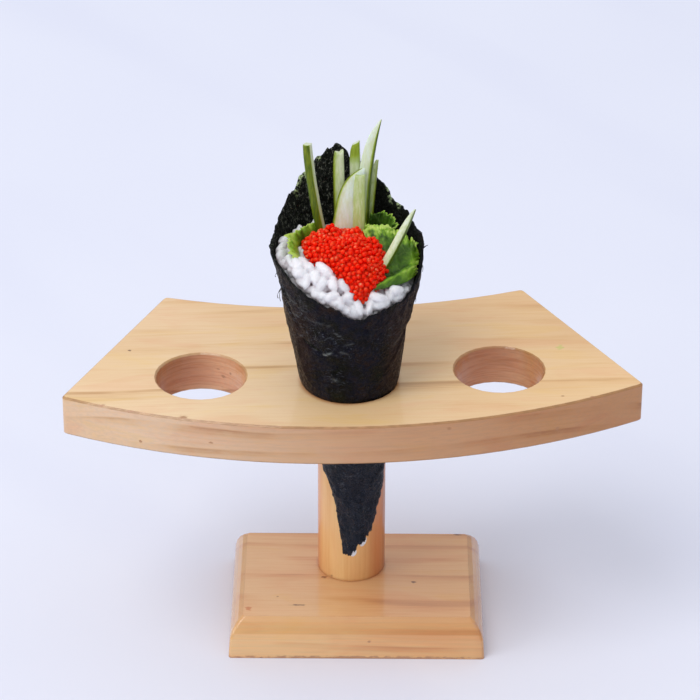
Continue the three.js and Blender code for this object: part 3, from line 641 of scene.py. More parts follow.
class Heap:
    """Points and faces of many small solids, joined into one mesh."""

    def __init__(self):
        self.points, self.faces, self.tints, self.count = [], [], [], 0

    def put(self, points, faces, tint):
        points = np.asarray(points).reshape(-1, 3)
        self.points.append(points)
        self.faces.extend(tuple(k + self.count for k in face) for face in faces)
        self.tints.append(np.broadcast_to(tint, len(points)))
        self.count += len(points)

    def piece(self, name, node, slot, material):
        add_piece(name, np.concatenate(self.points), self.faces, node, material,
                  {"tint": np.concatenate(self.tints)})


# ---- Nori ----
# Creases pressed into the outside: first and last angle and height, depth, and half width.
CREASES = [
    (-66, 195, -47, 181, 0.9, 1.2), (-72, 192, -52, 177, -0.8, 1.1), (-60, 190, -43, 179, -0.7, 1.0),
    (-49, 171, -26, 168, -1.3, 1.5), (-27, 168, -14, 169, 0.8, 0.9), (-3, 171, 4, 169, 0.7, 0.8),
    (-16, 157, -9, 152, 0.8, 0.9), (-9, 160, 8, 145, -0.6, 2.2), (72, 175, 42, 158, -0.7, 1.6),
    (-40, 185, -8, 176, -0.5, 2.0), (12, 180, 40, 172, 0.5, 1.8), (-60, 165, -48, 150, 0.6, 1.4)]
# Thin ridges of the outside that catch the light: the same, with their brightness for a depth.
GLINTS = [
    (-24.3, 167.4, -16.7, 169.1, 1.0, 0.5), (-6.8, 170.6, 1.8, 169.8, 0.22, 0.5),
    (-17, 154.7, -12, 154.5, 0.3, 0.7), (-41.7, 194.5, -36, 193, 0.2, 0.4),
    (-56.5, 193, -47.7, 191.5, 0.25, 0.45), (-57.7, 184.3, -47.6, 184.1, 0.3, 0.4),
    (-39.9, 185.1, -29.5, 184.3, 0.15, 0.45), (-28.5, 185, -15.5, 184.4, 0.12, 0.5),
    (-10.6, 180.9, -4.5, 178.4, 0.3, 0.4), (-59.4, 195.4, -55.2, 192.8, 0.3, 0.45),
    (-40.8, 173.1, -35.2, 168.6, 0.15, 0.5), (-70, 150.7, -68.7, 145.7, 0.2, 0.5),
    (-43.8, 190.4, -37.1, 188.7, 0.2, 0.4), (-2.8, 174.5, 3.6, 175.6, 0.12, 0.5),
    (47, 169.4, 55.9, 172.8, 0.12, 0.6)]
# Where the outside is most crumpled and gets painted highlights on its creases: angle and height,
# reach of each, and how much.
CRUMPLED = [
    (-60, 188, 24, 9, 1.0), (-30, 176, 24, 8, 0.7), (-2, 172, 12, 6, 0.5), (-14, 155, 12, 5, 0.5),
    (-75, 165, 14, 16, 0.4), (40, 176, 22, 8, 0.3), (-20, 100, 60, 26, 0.35), (25, 70, 30, 12, 0.4)]
# Torn bits at the upper edge where the sheet shows green: angle, reach in degrees and height.
FLECKS = [(-141, 3.2, 3.6), (-147, 2.6, 3.0), (-159, 1.2, 1.4), (148, 4.0, 2.6), (139, 1.4, 1.6)]
# Loose shreds: angle and height of the root, how far each stands out and rises, and its width.
SHREDS = [
    (-92, 187.5, 2.4, -5.5, 2.6), (-89, 189.0, 1.4, -7.5, 2.0), (88, 184, 1.3, -2.6, 1.4),
    (-91, 196, 1.6, -3.0, 1.6), (92, 207, 1.8, 1.5, 1.4), (90, 200, 1.2, -4, 1.2),
    (97, 203, 1.2, -3, 1.0), (160, 226.6, 1.6, 1.2, 0.8), (-127, 214.5, 1.5, 1.0, 0.9)]
# The radius that takes an angle to millimetres along the sheet, for creases and glints.
UNROLLED_RADIUS = 25


def row_heights(foot, top, lower, upper):
    low = [foot + (PINCHED - foot) * i / lower for i in range(lower + 1)]
    high = [SWOLLEN + (top - SWOLLEN) * i / upper for i in range(upper + 1)]
    return low + high


def creases(angle, z, rows):
    """The sum, over rows of creases, of their depth where they run and 0 away from them."""
    x = np.radians(wrapped(angle, -180)) * UNROLLED_RADIUS
    height = 0 * z
    for first, foot, last, head, depth, width in rows:
        start = np.array([radians(first) * UNROLLED_RADIUS, foot])
        run = np.array([radians(last) * UNROLLED_RADIUS, head]) - start
        t = unit(((x - start[0]) * run[0] + (z - start[1]) * run[1]) / (run @ run))
        gap = np.hypot(x - start[0] - t * run[0], z - start[1] - t * run[1])
        height = height + depth * bell(gap, 0, width)
    return height


def build_nori(material):
    """The sheet, rolled from its seam all the way round, with a torn edge, creases and glints."""
    columns, lower, upper = NORI["columns"], NORI["lower"], NORI["upper"]
    turn = np.linspace(0, 1, columns + 1)[None, :]
    levels = np.array(row_heights(TIP[0][1], LIP[0][1], lower, upper))[:, None]
    seam = SEAM["foot"] + SEAM["slant"] * np.maximum(0, levels - SEAM["height"])
    angle = seam + turn * (360 - NORI["overlap"])
    ring = np.stack([np.sin(np.radians(angle)), np.cos(np.radians(angle)), 0 * angle], -1)
    flap = unit((lip_height(angle) - 212) / 12)
    tear = (0.7 + 0.5 * flap) * np.tanh(2.5 * rough(ring * 30, 2.6, 3))
    tear += 0.7 * rough(ring * 30, 9.0, 2, 5.0)
    snag = 1.3 * np.tanh(2.5 * rough(ring * 8, 1.6, 2, 9.0))
    rows = row_heights(tip_height(angle) + snag, lip_height(angle) + tear, lower, upper)
    z = np.stack([row[i] for i, row in enumerate(rows)])
    centre = on_cone(cone_radius(z, angle), z, angle)
    free = unit(np.abs(z - 132) / 22 - 0.45)  # 0 in the board's hole, where the sheet is pressed flat
    ridge = 1.0 - 2.2 * np.abs(rough(centre, 11.0, 3, 3.0))
    crinkle = 0.5 * ridge + 0.4 * rough(centre, 3.0, 3)
    low = unit((120 - z) / 30)
    back = unit((z - 205) / 10)
    crinkle = free * crinkle * (0.6 + 0.9 * low + 0.6 * back) - 0.25 * free
    radius = cone_radius(z, angle) + crinkle
    width = (1 - turn) * 2 * np.pi * radius
    lifted = 0.6 * np.exp(-width / 2.5) * unit((z - 143) / 8)
    glint = np.clip(0.75 + 1.3 * rough(centre, 1.3, 2, 6.0), 0, 1.3) * creases(angle, z, GLINTS)
    relief = NORI["step"] * turn + lifted + creases(angle, z, CREASES) + 0.4 * glint
    outer = on_cone(radius + relief, z, angle)
    inner = on_cone(radius - NORI["thickness"], z, angle)
    points = np.concatenate([outer.reshape(-1, 3), inner.reshape(-1, 3)])
    below = lip_height(angle) + tear - z
    fleck = 0 * z
    for place, reach, depth in FLECKS:
        off = wrapped(angle - place, -180) / reach
        fleck = np.maximum(fleck, unit(1.4 - off * off - (below / depth) ** 2))
    crumpled = 0 * z
    for place, height, reach, rise, much in CRUMPLED:
        off = wrapped(angle - place, -180) / reach
        crumpled = np.maximum(crumpled, much * bell(off, 0, 1) * bell(z, height, rise))
    faces = sheet_faces(len(levels), columns + 1, True)
    add_piece("nori_sheet", points, faces, "nori", material, {
        "fleck": both(unit(2 * fleck)), "glint": both(glint, 0 * glint),
        "inside": both(0 * z, 0 * z + 1), "crumpled": both(crumpled, 0 * crumpled)})


def build_frays(material):
    """Loose shreds of nori."""
    heap = Heap()
    stations = 14
    u = np.linspace(0, 1, stations)
    for angle, height, out, drop, width in SHREDS:
        z = height + drop * u ** 1.3
        reach = cone_radius(z, angle) - 0.5 + (out + 0.5) * np.sin(1.9 * u)
        spine = on_cone(reach, z, angle + 2.5 * np.sin(3 * u))
        half = (width / 2 * (1 - u) ** 0.7 * (1 + 0.25 * np.sin(9 * u)))[:, None]
        across = compass(angle) * half
        lift = np.array([0.12, 0.05, 0.1])
        rings = np.stack([spine + across, spine + lift, spine - across, spine - lift], 1)
        points = np.concatenate([rings.reshape(-1, 3), spine[:1], spine[-1:]])
        heap.put(points, skin_faces(stations, 4), 0)
    heap.piece("nori_shreds", "nori", "nori", material)


# ---- Rice ----
# The grains that lie on top: place, heading and tilt in degrees.
TOP_GRAINS = [
    (-33.1, -17.1, 205.6, 42, 1), (-34.1, -25.1, 205.8, 60, 1), (-33.5, -31.8, 205.5, 77, 2),
    (-28.8, -39.8, 206.5, -77, -9), (-22.9, -42.1, 206.3, -38, -20), (-25.0, -45.8, 204.2, -10, -14),
    (-26.1, -42.9, 206.5, -67, -25), (-22.2, -48.7, 202.2, -96, -32), (-18.5, -47.0, 203.1, -73, -30),
    (-14.7, -44.0, 204.7, -41, -25), (-15.6, -48.6, 200.9, -115, -29), (-11.0, -49.3, 201.1, -76, -37),
    (-6.7, -48.0, 199.6, -46, -44), (-17.4, -53.5, 197.1, -7, -19), (-11.6, -53.2, 196.8, 22, 12),
    (-8.2, -55.1, 194.3, -61, -51), (-3.9, -50.7, 195.8, 38, 12), (-4.4, -55.7, 190.2, -3, -43),
    (0.5, -53.8, 191.7, -69, -51), (8.2, -49.5, 194.8, 6, -17), (5.7, -52.9, 191.4, -104, -44),
    (11.6, -50.5, 191.8, 15, -19), (16.3, -42.9, 194.3, 41, -14), (18.7, -43.5, 192.1, 44, -15),
    (18.4, -44.8, 190.7, -127, 7), (9.4, -52.1, 190.7, -175, 22), (-1.9, -54.8, 190.0, -62, -47)]
# Grains that stand alone, two behind the roe and two at the cut tip: place and size.
LONE_GRAINS = [
    (-19.4, -6.6, 207.4, 1.0), (-25.4, -11.5, 206.6, 1.0), (3.0, -29.2, 56, 0.72),
    (-1.3, -30.4, 50.8, 0.6)]
LOOSE_GRAINS, RIM_GRAINS = 260, 58
GOLDEN_ANGLE = 137.508
CORE = {"columns": 96, "rows": (14, 12, 14), "below_edge": 1.6, "below_top": 0.8}
GRAIN = {"length": (2.8, 3.7), "width": (1.65, 2.2), "flat": 0.82, "blunt": 0.8, "lumps": 0.2}
CLEAR_OF_SHEET = 1.4
VOXEL = 0.32


def ball(sides, levels):
    """Points on a unit ball and its faces, with a point at each pole."""
    slope = pi * np.arange(1, levels)[:, None] / levels
    around = 2 * pi * np.arange(sides) / sides
    rings = np.sin(slope) * np.cos(around), np.sin(slope) * np.sin(around), -np.cos(slope)
    points = np.stack(np.broadcast_arrays(*rings), -1).reshape(-1, 3)
    return np.concatenate([points, [[0, 0, -1], [0, 0, 1]]]), skin_faces(levels - 1, sides)


def turned(points, direction, spin):
    """Points whose Z axis is brought to a direction, spun about it first."""
    matrix = Vector(direction).to_track_quat("Z", "Y").to_matrix() @ Matrix.Rotation(spin, 3, "Z")
    return points @ np.array(matrix).T


def grain(stream, shape, size):
    """A cooked grain: blunt, slightly flat, bent and swollen."""
    draw = stream.uniform
    length = size * draw(*GRAIN["length"])
    width = size * draw(*GRAIN["width"])
    blunt = np.sign(shape[:, 2:]) * np.abs(shape[:, 2:]) ** GRAIN["blunt"]
    side = shape[:, :2] * (1 + 0.12 * draw(-1, 1) * shape[:, 2:])
    points = np.concatenate([side, blunt], 1)
    points *= np.array([width, width * draw(GRAIN["flat"], 1.0), length])
    points[:, 0] += draw(-0.9, 0.9) * (points[:, 2] / length) ** 2
    lumps = rough(points + 40 * stream.random(), 2.0, 2)
    return points * (1 + GRAIN["lumps"] * lumps[:, None])


def pressed_in(points, place):
    """Points moved towards the cone's axis until they clear the sheet."""
    off = np.hypot(points[:, 0] - along(CONE, place[2], 2), points[:, 1] - ROLL_Y)
    outside = np.max(off - along(CONE, points[:, 2]) + CLEAR_OF_SHEET)
    if outside > 0:
        toward = np.array([along(CONE, place[2], 2), ROLL_Y, place[2]]) - place
        points = points + toward / np.linalg.norm(toward) * outside
    return points


def beside_roe(place):
    """How far a place lies outside the edge of the roe, in millimetres."""
    gap, angle = polar(place[0], place[1], ROE["x"], ROE["y"])
    return gap - along(ROE_EDGE, wrapped(angle, ROE_EDGE[0][0]))


def fused(heap, voxel, rounds):
    """The solids of a heap, melted into one skin with soft creases between them."""
    mesh = bpy.data.meshes.new("loose")
    mesh.from_pydata(np.concatenate(heap.points).tolist(), [], heap.faces)
    loose = linked("loose", mesh)
    melt = loose.modifiers.new("melt", "REMESH")
    melt.mode = "VOXEL"
    melt.voxel_size = voxel
    soften = loose.modifiers.new("soften", "SMOOTH")
    soften.iterations = rounds
    result = loose.evaluated_get(bpy.context.evaluated_depsgraph_get()).data
    points = np.array([v.co[:] for v in result.vertices])
    faces = [tuple(face.vertices) for face in result.polygons]
    bpy.data.objects.remove(loose)
    bpy.data.meshes.remove(mesh)
    return points, faces


def rice_core():
    """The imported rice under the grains, from the cut tip up to just below the crown."""
    angles = 360 * np.arange(CORE["columns"]) / CORE["columns"]
    lower, upper, top = CORE["rows"]
    levels = row_heights(tip_height(angles) + RICE["rim"], rice_edge(angles) - CORE["below_edge"],
                         lower, upper)
    rings = [on_cone(rice_wall(z), z, angles) for z in levels]
    for i in range(top - 1, 0, -1):
        rings.append(rice_top(i / top, angles) - [0, 0, CORE["below_top"]])
    ends = [on_cone(0, RICE["foot"], 0), on_cone(0, RICE["crown"] - CORE["below_top"], 0)]
    return np.concatenate([*rings, ends]), skin_faces(len(rings), CORE["columns"])


def build_rice(material):
    """The core, and over it loose grains, grains along the rim and grains on top, melted together."""
    grains = Heap()
    stream = random.Random(SEED)
    draw = stream.uniform
    shape, faces = ball(14, 10)
    tops = np.array([row[:3] for row in TOP_GRAINS])

    def laid(place, direction, size, spin=None):
        points = grain(stream, shape, size)
        return turned(points, direction, draw(0, 6.3) if spin is None else spin) + place

    for k in range(LOOSE_GRAINS):
        share = sqrt((k + 0.5) / LOOSE_GRAINS) * 0.97
        angle = float(wrapped(GOLDEN_ANGLE * k, -180))
        place = rice_top(share + draw(-0.03, 0.03), angle + draw(-3, 3))
        # Grains lie deeper under the leaves and at the rear, and none lie under the folded leaf.
        covered = 48 < angle < 175 or angle < -150
        if 40 < angle < 125 and share < 0.85:
            continue
        place[2] += -2.4 if covered else draw(-1.0, 0.3) + 1.4 * float(rough(place, 6.0, 2))
        near_top = np.min(np.linalg.norm(tops - place, axis=1))
        place[2] -= 0.9 * (near_top < 3.6)
        heading = draw(0, 2 * pi)
        direction = (cos(heading), sin(heading), draw(-0.6, 0.6))
        points = laid(place, direction, 1.02)
        tint = draw(0.25, 0.9)
        # None are kept well under the roe or among the batons behind it.
        if beside_roe(place) > -3 and not (angle < -95 and share < 0.7):
            grains.put(pressed_in(points, place), faces, tint)
    for k in range(RIM_GRAINS):
        angle = -150 + 235 * (k + draw(-0.3, 0.3)) / RIM_GRAINS
        place = rice_top(draw(0.88, 0.96), angle) + [0, 0, draw(-0.9, 0.5)]
        if rough(place, 4.0, 2) < -0.02:
            continue
        direction = compass(angle + draw(-50, 50), draw(-0.5, 0.5))
        grains.put(pressed_in(laid(place, direction, 1.0), place), faces, 1)
    for x, y, z, heading, tilt in TOP_GRAINS:
        tilt = radians(tilt)
        direction = compass(heading) * cos(tilt) + [0, 0, sin(tilt)]
        place = np.array([x, y, z + 0.5])
        grains.put(pressed_in(laid(place, direction, 1.26), place), faces, 1)
    for *place, size in LONE_GRAINS:
        direction = (draw(-0.5, 0.5), draw(-0.5, 0.5), 1)
        points = laid(place, direction, size, 0)
        grains.put(pressed_in(points, np.array(place)) if place[2] > 100 else points, faces, 0.9)
    heap = Heap()
    # The core takes a greyer tone: painted shade.
    heap.put(*rice_core(), 0.3)
    points, faces = fused(grains, VOXEL, 2)
    # Painted shade: grains that lie lower than the top surface take a greyer tone; on the right and at
    # the rear, where they were laid lower, it is lifted.
    across, angles = polar(points[:, 0], points[:, 1], along(CONE, RICE["bank"], 2), ROLL_Y)
    share = np.minimum(across / rice_wall(rice_edge(angles)), 1)
    proud = points[:, 2] - rice_top(share, angles)[:, 2]
    sunk = unit(np.maximum((angles - 15) / 25, (-140 - angles) / 15))
    heap.put(points, faces, np.where(points[:, 2] < 100, 1, unit((proud + 2.2 * sunk) / 3.6)))
    heap.piece("rice_grains", "rice", "rice", material)


# ---- Roe ----
# Lumps on the heap: X, Y, height and reach.
LUMPS = [
    (-12.0, -21.0, 2.8, 3.0), (-1.0, -20.0, 2.6, 3.0), (8.2, -28, 2.2, 4.0), (-8, -36, 1.6, 5),
    (3, -44, 1.8, 5), (-19, -30, 1.6, 4), (-6.5, -22, -1.6, 3.0), (3.5, -22.5, -1.4, 2.6),
    (-14, -34, -0.8, 4), (0, -33, 1.0, 4)]
BEADS = {"tries": 5200, "gap": 1.66, "radius": (1.05, 1.25), "bed": 0.6, "columns": 72, "rows": 12}
# Which way each bead's painted highlight faces: towards the light.
HIGHLIGHT_SIDE = np.array([-0.3, -0.35, 0.887])


def heaped(place):
    """A place on the roe, raised where a lump is."""
    for x, y, height, reach in LUMPS:
        gap = (place[..., 0] - x) ** 2 + (place[..., 1] - y) ** 2
        place[..., 2] += height * np.exp(-gap / reach ** 2)
    return place


def build_roe(material):
    """A mound under beads that are scattered over it, their centres kept a set gap apart."""
    heap = Heap()
    columns, rows, bed = BEADS["columns"], BEADS["rows"], BEADS["bed"]
    angles = 360 * np.arange(columns) / columns
    rings = [roe_top(1, angles, bed) - np.array([0, 0, ROE["thickness"] - 1.5])]
    rings += [heaped(roe_top(sqrt(i / rows), angles, bed)) for i in range(rows, 0, -1)]
    crown = heaped(roe_top(0, 0, bed))
    core = np.concatenate([np.concatenate(rings), [crown - np.array([0, 0, 8])], [crown]])
    heap.put(core, skin_faces(len(rings), columns), 0.3)
    stream = random.Random(SEED + 1)
    draw = stream.uniform
    shape, faces = ball(12, 9)
    placed = np.full((1, 3), 1e3)
    for k in range(BEADS["tries"]):
        share = min(0.998, sqrt(stream.random()))
        angle = draw(0, 360)
        sink = 0.2
        if k % 4 == 0:
            share, sink = 1, bed
        place = heaped(roe_top(share, angle, sink))
        place[2] += draw(-2.8, 0.0) if share == 1 else draw(-0.6, 0.8)
        if np.min(np.sum((placed - place) ** 2, 1)) < BEADS["gap"] ** 2:
            continue
        placed = np.concatenate([placed, place[None]])
        size = draw(*BEADS["radius"])
        # Each bead's tone is random, and paler on the side towards the light: a painted highlight.
        shine = unit(shape @ HIGHLIGHT_SIDE) ** 3
        heap.put(shape * size + place, faces, draw(0.15, 0.5) + draw(0.3, 0.55) * shine)
    heap.piece("roe_beads", "roe", "roe", material)


# ---- Cucumber ----
STATIONS = 34
# foot, tip, bow, width, depth, turn, width at the tip, how late it narrows, then the look: green of
# the flesh, which way the skin faces (degrees, 0 front and 90 right), how wide the skin is, how far
# up it starts, how green it is, how much higher the cut is on the right, and how deep it is notched.
STICKS = [
    ((-15.4, -12.2, 203), (-22.6, -6, 246.8), (-0.8, 0, 0), 3.4, 3.4, -24, 0.9, 12,
     0.14, -12, 66, 0, 0.82, -0.4, 0),
    ((-7.9, -9, 199), (-9.2, 0.4, 241), (0, 0, 0), 4.7, 3.4, 8, 0.8, 10,
     0.22, -88, 52, 0, 0.6, 0.8, 1.5),
    ((-1.6, -3, 199), (-2.1, 2.8, 244.4), (0.4, 0, 0), 4.6, 3.4, -6, 0.7, 12,
     0.12, -10, 95, 0.83, 0.62, 1.8, 0),
    ((-7.9, -13.6, 200), (-2.4, -6, 236), (0, 0, 0), 10.2, 2.4, 2, 0.13, 6,
     0.0, -90, 50, 0, 0.75, 0, 0),
    ((0.2, -17.4, 199), (0.2, -10.4, 234.4), (0, -0.2, 0), 5.2, 2.8, -4, 0.85, 8,
     0.34, 100, 44, 0, 0.5, 0.3, 0.3),
    ((1.8, -9.4, 199), (7, 2, 255.6), (-1.9, 0, 0), 5.8, 2.2, -10, 0.08, 7,
     0.10, 85, 54, 0, 1.0, 0, 0),
    ((3.6, -5.4, 199), (6.6, 4, 234.6), (-0.2, 0, 0), 4, 2.8, -10, 0.3, 5,
     0.28, 95, 56, 0, 0.7, 0, 0),
    ((9.8, -36.3, 201), (23.4, -24, 225.4), (0.6, 0, -0.4), 3.2, 3.2, -25, 0.12, 5,
     0.14, 112, 60, 0, 0.85, 0, 0)]


def rounded_outline(bulge=0.32, corner=0.22, steps=5):
    """A baton's cross-section: square with soft corners, and a front that bulges."""
    points = []
    for sign_x, sign_y, start in ((1, 1, 0), (-1, 1, 90), (-1, -1, 180), (1, -1, 270)):
        for k in range(steps):
            angle = radians(start + 90 * k / (steps - 1))
            points.append((sign_x * (1 - corner) + corner * cos(angle),
                           sign_y * (1 - corner) + corner * sin(angle)))
    full = []
    for k, point in enumerate(points):
        after = points[(k + 1) % len(points)]
        full.append(point)
        if dist(point, after) > 1:
            step = np.array(after) - point
            full += [tuple(np.array(point) + step * s) for s in (0.2, 0.4, 0.6, 0.8)]
    return [(x, y - bulge * (1 - x * x) if y < -0.95 else y) for x, y in full]


def build_sticks(material):
    """The batons, each bent along its length and narrowed towards its tip."""
    outline = np.array(rounded_outline())
    around = np.degrees(np.arctan2(outline[:, 0], -outline[:, 1]))
    for k, row in enumerate(STICKS):
        (foot, tip, bow, width, depth, turn, tip_width, power,
         flesh, facing, spread, skin_from, skin_green, slant, notch) = row
        foot, tip = np.array(foot, float), np.array(tip, float)
        middle = (foot + tip) / 2 + 2 * np.array(bow)
        direction = (tip - foot) / np.linalg.norm(tip - foot)
        across = compass(turn)
        inward = np.cross(direction, across)
        inward /= np.linalg.norm(inward)
        across = np.cross(inward, direction)
        cut = slant * (outline[:, 0] - 1) / 2 - notch * unit(1 - 1.3 * np.abs(outline[:, 0] - 0.1))
        rings, greens = [], []
        for i in range(STATIONS + 1):
            t = (i / STATIONS) ** 0.8
            share = 1 - (1 - tip_width) * t ** power
            centre = (1 - t) ** 2 * foot + 2 * t * (1 - t) * middle + t * t * tip
            centre = centre + across * width * (1 - share) / 2
            half = outline * [width * share / 2, depth * sqrt(share) / 2]
            ring = centre + half[:, :1] * across + half[:, 1:] * inward
            rings.append(ring + (cut * t ** 8)[:, None] * direction)
            away = np.abs((around - facing + 180) % 360 - 180)
            skin = unit((spread - away) / 14 + 0.5) * unit((t - skin_from) / 0.12 + 0.5)
            near = unit((spread + 50 - away) / 60) * 0.12 + 0.12 * (1 - t) ** 2
            greens.append(unit(flesh + near + (skin_green - flesh) * skin))
        rings = np.array(rings)
        rings += (0.10 * rough(rings, 4.0, 2, k * 3.1))[..., None] * inward
        crown = rings[-1].mean(0)
        worn = [crown + (rings[-1] - crown) * s + direction * d
                for s, d in ((0.93, 0.1), (0.7, 0.1), (0.35, 0.05))]
        rings = np.concatenate([rings, worn])
        greens += [0.5 * (greens[-1] + flesh)] + 2 * [np.full(len(outline), flesh)]
        points = np.concatenate([rings.reshape(-1, 3), [rings[0].mean(0), crown]])
        green = np.concatenate([np.ravel(greens), [flesh, flesh]])
        faces = skin_faces(len(rings), len(outline))
        add_piece(f"cucumber_baton_{k + 1}", points, faces, f"cucumber_{k + 1}",
                  material, {"green": green})


# ---- Lettuce ----
# The folded leaf's lines, from its folded front edge to the rear, each from left to right.
FOLDED_LINES = [
    [(7.0, -48.0, 197.6), (13.1, -44.2, 197.4), (20.6, -37.4, 196.2), (25.4, -30.6, 195.8)],
    [(7.4, -47.4, 199.0), (13.3, -42.0, 200.4), (19.6, -36.0, 201.0), (25.8, -28.6, 200.2)],
    [(10.8, -38.0, 200.6), (15.3, -33.8, 200.8), (20.3, -29.6, 201.0), (26.4, -24.0, 201.8)],
    [(1.6, -19.0, 212.8), (10.7, -17.4, 213.0), (19.4, -17.2, 210.4), (25.6, -20.0, 205.6)]]
FOLDED_STEPS, STRIP_STEPS = (120, 130), (200, 30)
FOLDED_THICKNESS, STRIP_THICKNESS = 0.7, 0.6


def smooth_line(points, u):
    """Places on a smooth line through the points, from 0 at its first to 1 at its last."""
    knots = [(k / (len(points) - 1), *point) for k, point in enumerate(points)]
    return np.stack([along(knots, u, column) for column in (1, 2, 3)], -1)


def leaf_piece(name, surface, rim, thickness, node, material):
    """A thin leaf on both sides of a grid of points."""
    across = np.gradient(surface, axis=0)
    up = np.gradient(surface, axis=1)
    normal = np.cross(across, up)
    normal /= np.linalg.norm(normal, axis=-1, keepdims=True)
    half = (thickness / 2 * (1 - 0.6 * unit(rim)))[..., None]
    points = np.stack([surface + normal * half, surface - normal * half])
    faces = sheet_faces(*surface.shape[:2])
    add_piece(name, points, faces, node, material, {"rim": both(rim)})


def build_strip(name, node, foot, heights, leans, waves, ruffle, painted_light, material):
    """A ruffled strip on its foot line. Its height, the lean of its foot and top in degrees, and
    the painted light and shade of its foot and top each change from the line's first end to its last."""
    u, v = (np.linspace(0, 1, steps) for steps in STRIP_STEPS)
    u, v = np.meshgrid(u, v, indexing="ij")
    base = smooth_line(foot, u)
    outward = base - np.array([CONE[-2][2], ROLL_Y, 0])
    outward[..., 2] = 0
    outward /= np.linalg.norm(outward, axis=-1, keepdims=True)
    turn = 2 * pi * waves * u
    wave = np.sin(turn) + 0.35 * np.sin(1.7 * turn + 1) + 0.3 * v * np.sin(3.1 * turn + 2)
    tall = along([(k / (len(heights) - 1), height) for k, height in enumerate(heights)], u)
    edge = np.stack([24 * u, 2 * v, 0 * u], -1)
    tall = tall * (1 + 0.10 * rough(edge, 2.4, 2, 2.0 * waves) + 0.07 * rough(edge, 0.8, 2, waves))

    def between(ends):
        (low, high), (last_low, last_high) = ends
        return (1 - u) * (low + (high - low) * v) + u * (last_low + (last_high - last_low) * v)

    lean = np.radians(between(leans))
    step = tall / (v.shape[1] - 1)
    crimp = 0.5 * v ** 3 * np.sin(4.3 * turn + 1)
    out = np.cumsum(step * np.sin(lean), 1) + ruffle * wave * v ** 1.6 + crimp
    surface = base + outward * out[..., None]
    surface[..., 2] += np.cumsum(step * np.cos(lean), 1) + 0.2 * ruffle * v * np.sin(1.3 * turn + 2)
    surface += (0.6 * v * rough(surface, 2.4, 3))[..., None] * (0.8 * outward + [0, 0, 1])
    # Painted light and shade: given for the foot and top, lighter or darker with the ruffles' waves and
    # crimps, and paler along the top edge.
    rim = between(painted_light) + 0.2 * wave * v + 0.5 * crimp + 0.45 * unit((v - 0.9) / 0.1)
    leaf_piece(name, surface, unit(rim), STRIP_THICKNESS, node, material)


def build_folded_leaf(material):
    """The right leaf, folded over at the front and with ruffles to the right and at the rear."""
    u, v = (np.linspace(0, 1, steps) for steps in FOLDED_STEPS)
    rails = np.stack([smooth_line(line, u) for line in FOLDED_LINES])
    surface = np.stack([smooth_line(rails[:, i], v) for i in range(len(u))])
    x, y, z = np.moveaxis(surface, -1, 0)  # views, so what is added to them moves the surface
    u, v = np.meshgrid(u, v, indexing="ij")
    loose = np.maximum(v - 0.4, 0) / 0.6 + 0.3 * u * u
    turn = 2 * pi * 2.6 * u * (1 - 0.3 * v) + 5 * v
    z += 0.8 * loose * (np.sin(turn) + 0.3 * np.sin(2.7 * turn + 1))
    frill = unit((u - 0.84) / 0.16) ** 1.3
    edge = np.stack([26 * v, 4 * u, 0 * u], -1)
    z += 2.0 * frill * rough(edge, 3.0, 2) + 0.7 * frill * rough(edge, 1.0, 3, 7.0)
    x += 0.9 * frill * rough(edge, 1.8, 2, 3.0)
    top = unit((v - 0.82) / 0.18)
    edge = np.stack([24 * u, 3 * v, 0 * u], -1)
    z += 1.3 * top * rough(edge, 1.8, 3, 5.0) - 3.0 * top * bell(u, 0.80, 0.05)
    y += 1.2 * top * rough(edge, 1.5, 2, 9.0)
    z += 0.4 * rough(surface, 3.4, 3)
    fold_light = bell(v, 0.31, 0.05)
    sheen = bell(u, 0.86, 0.09) * bell(v, 0.52, 0.14)
    hollow_shade = bell(v, 0.5, 0.14) * (1.1 - u)
    thin = unit((v - 0.93) / 0.07)
    ruffled = 0.8 * top * np.clip(rough(surface, 1.8, 3, 2.0), -1, 1)
    flap = unit((0.34 - v) / 0.06)
    # The rim value: the leaf's own paler frill and top edge, with painted light and shade: lighter on
    # the flap towards the right, on the folded front edge and in the sheen, and darker in the hollows.
    rim = 0.14 + 0.2 * v + 0.3 * flap * (0.1 + 1.2 * u) + ruffled + 0.6 * np.maximum(frill ** 2, thin)
    rim += 0.3 * fold_light + 0.45 * sheen - 0.42 * hollow_shade
    leaf_piece("lettuce_right_leaf", surface, unit(rim), FOLDED_THICKNESS, "lettuce_right", material)


# ---- The whole ----
DARK_SPOT, RUST, SMEAR = (0.13, 0.040, 0.012), (0.42, 0.19, 0.08), (0.60, 0.56, 0.16)
JOINT_SPOT, BRUISE = (0.22, 0.06, 0.02), (0.55, 0.28, 0.15)
# Small marks on the wood: place, size, how far it is stretched along X, and tone.
BOARD_MARKS = [
    ((-103.1, -3.3, 141.5), 0.9, 1.2, DARK_SPOT), ((91.3, 2, 141.5), 2.4, 0.8, SMEAR),
    ((90.4, -41.5, 141.5), 0.7, 1.2, RUST), ((-76, -61.3, 141), 1.5, 1.7, RUST),
    ((-112, -51.5, 141.2), 0.9, 2.6, RUST), ((-100, -56.2, 141.2), 0.9, 3.4, RUST),
    ((-95.2, -57.9, 127), 0.8, 1.0, RUST), ((-64, -65.2, 131), 0.8, 1.4, RUST),
    ((39.7, -63.9, 138), 1.0, 1.6, RUST), ((88.2, -49.6, 129.6), 1.0, 1.4, RUST),
    ((104, -42, 141), 0.8, 2.6, RUST), ((52, -62, 140.8), 0.8, 2.8, RUST),
    ((-60.2, -8, 131), 1.0, 1.8, RUST), ((-57.2, -10, 133.6), 0.7, 1.5, RUST),
    ((-63, -6.8, 134), 0.5, 2.4, RUST)]
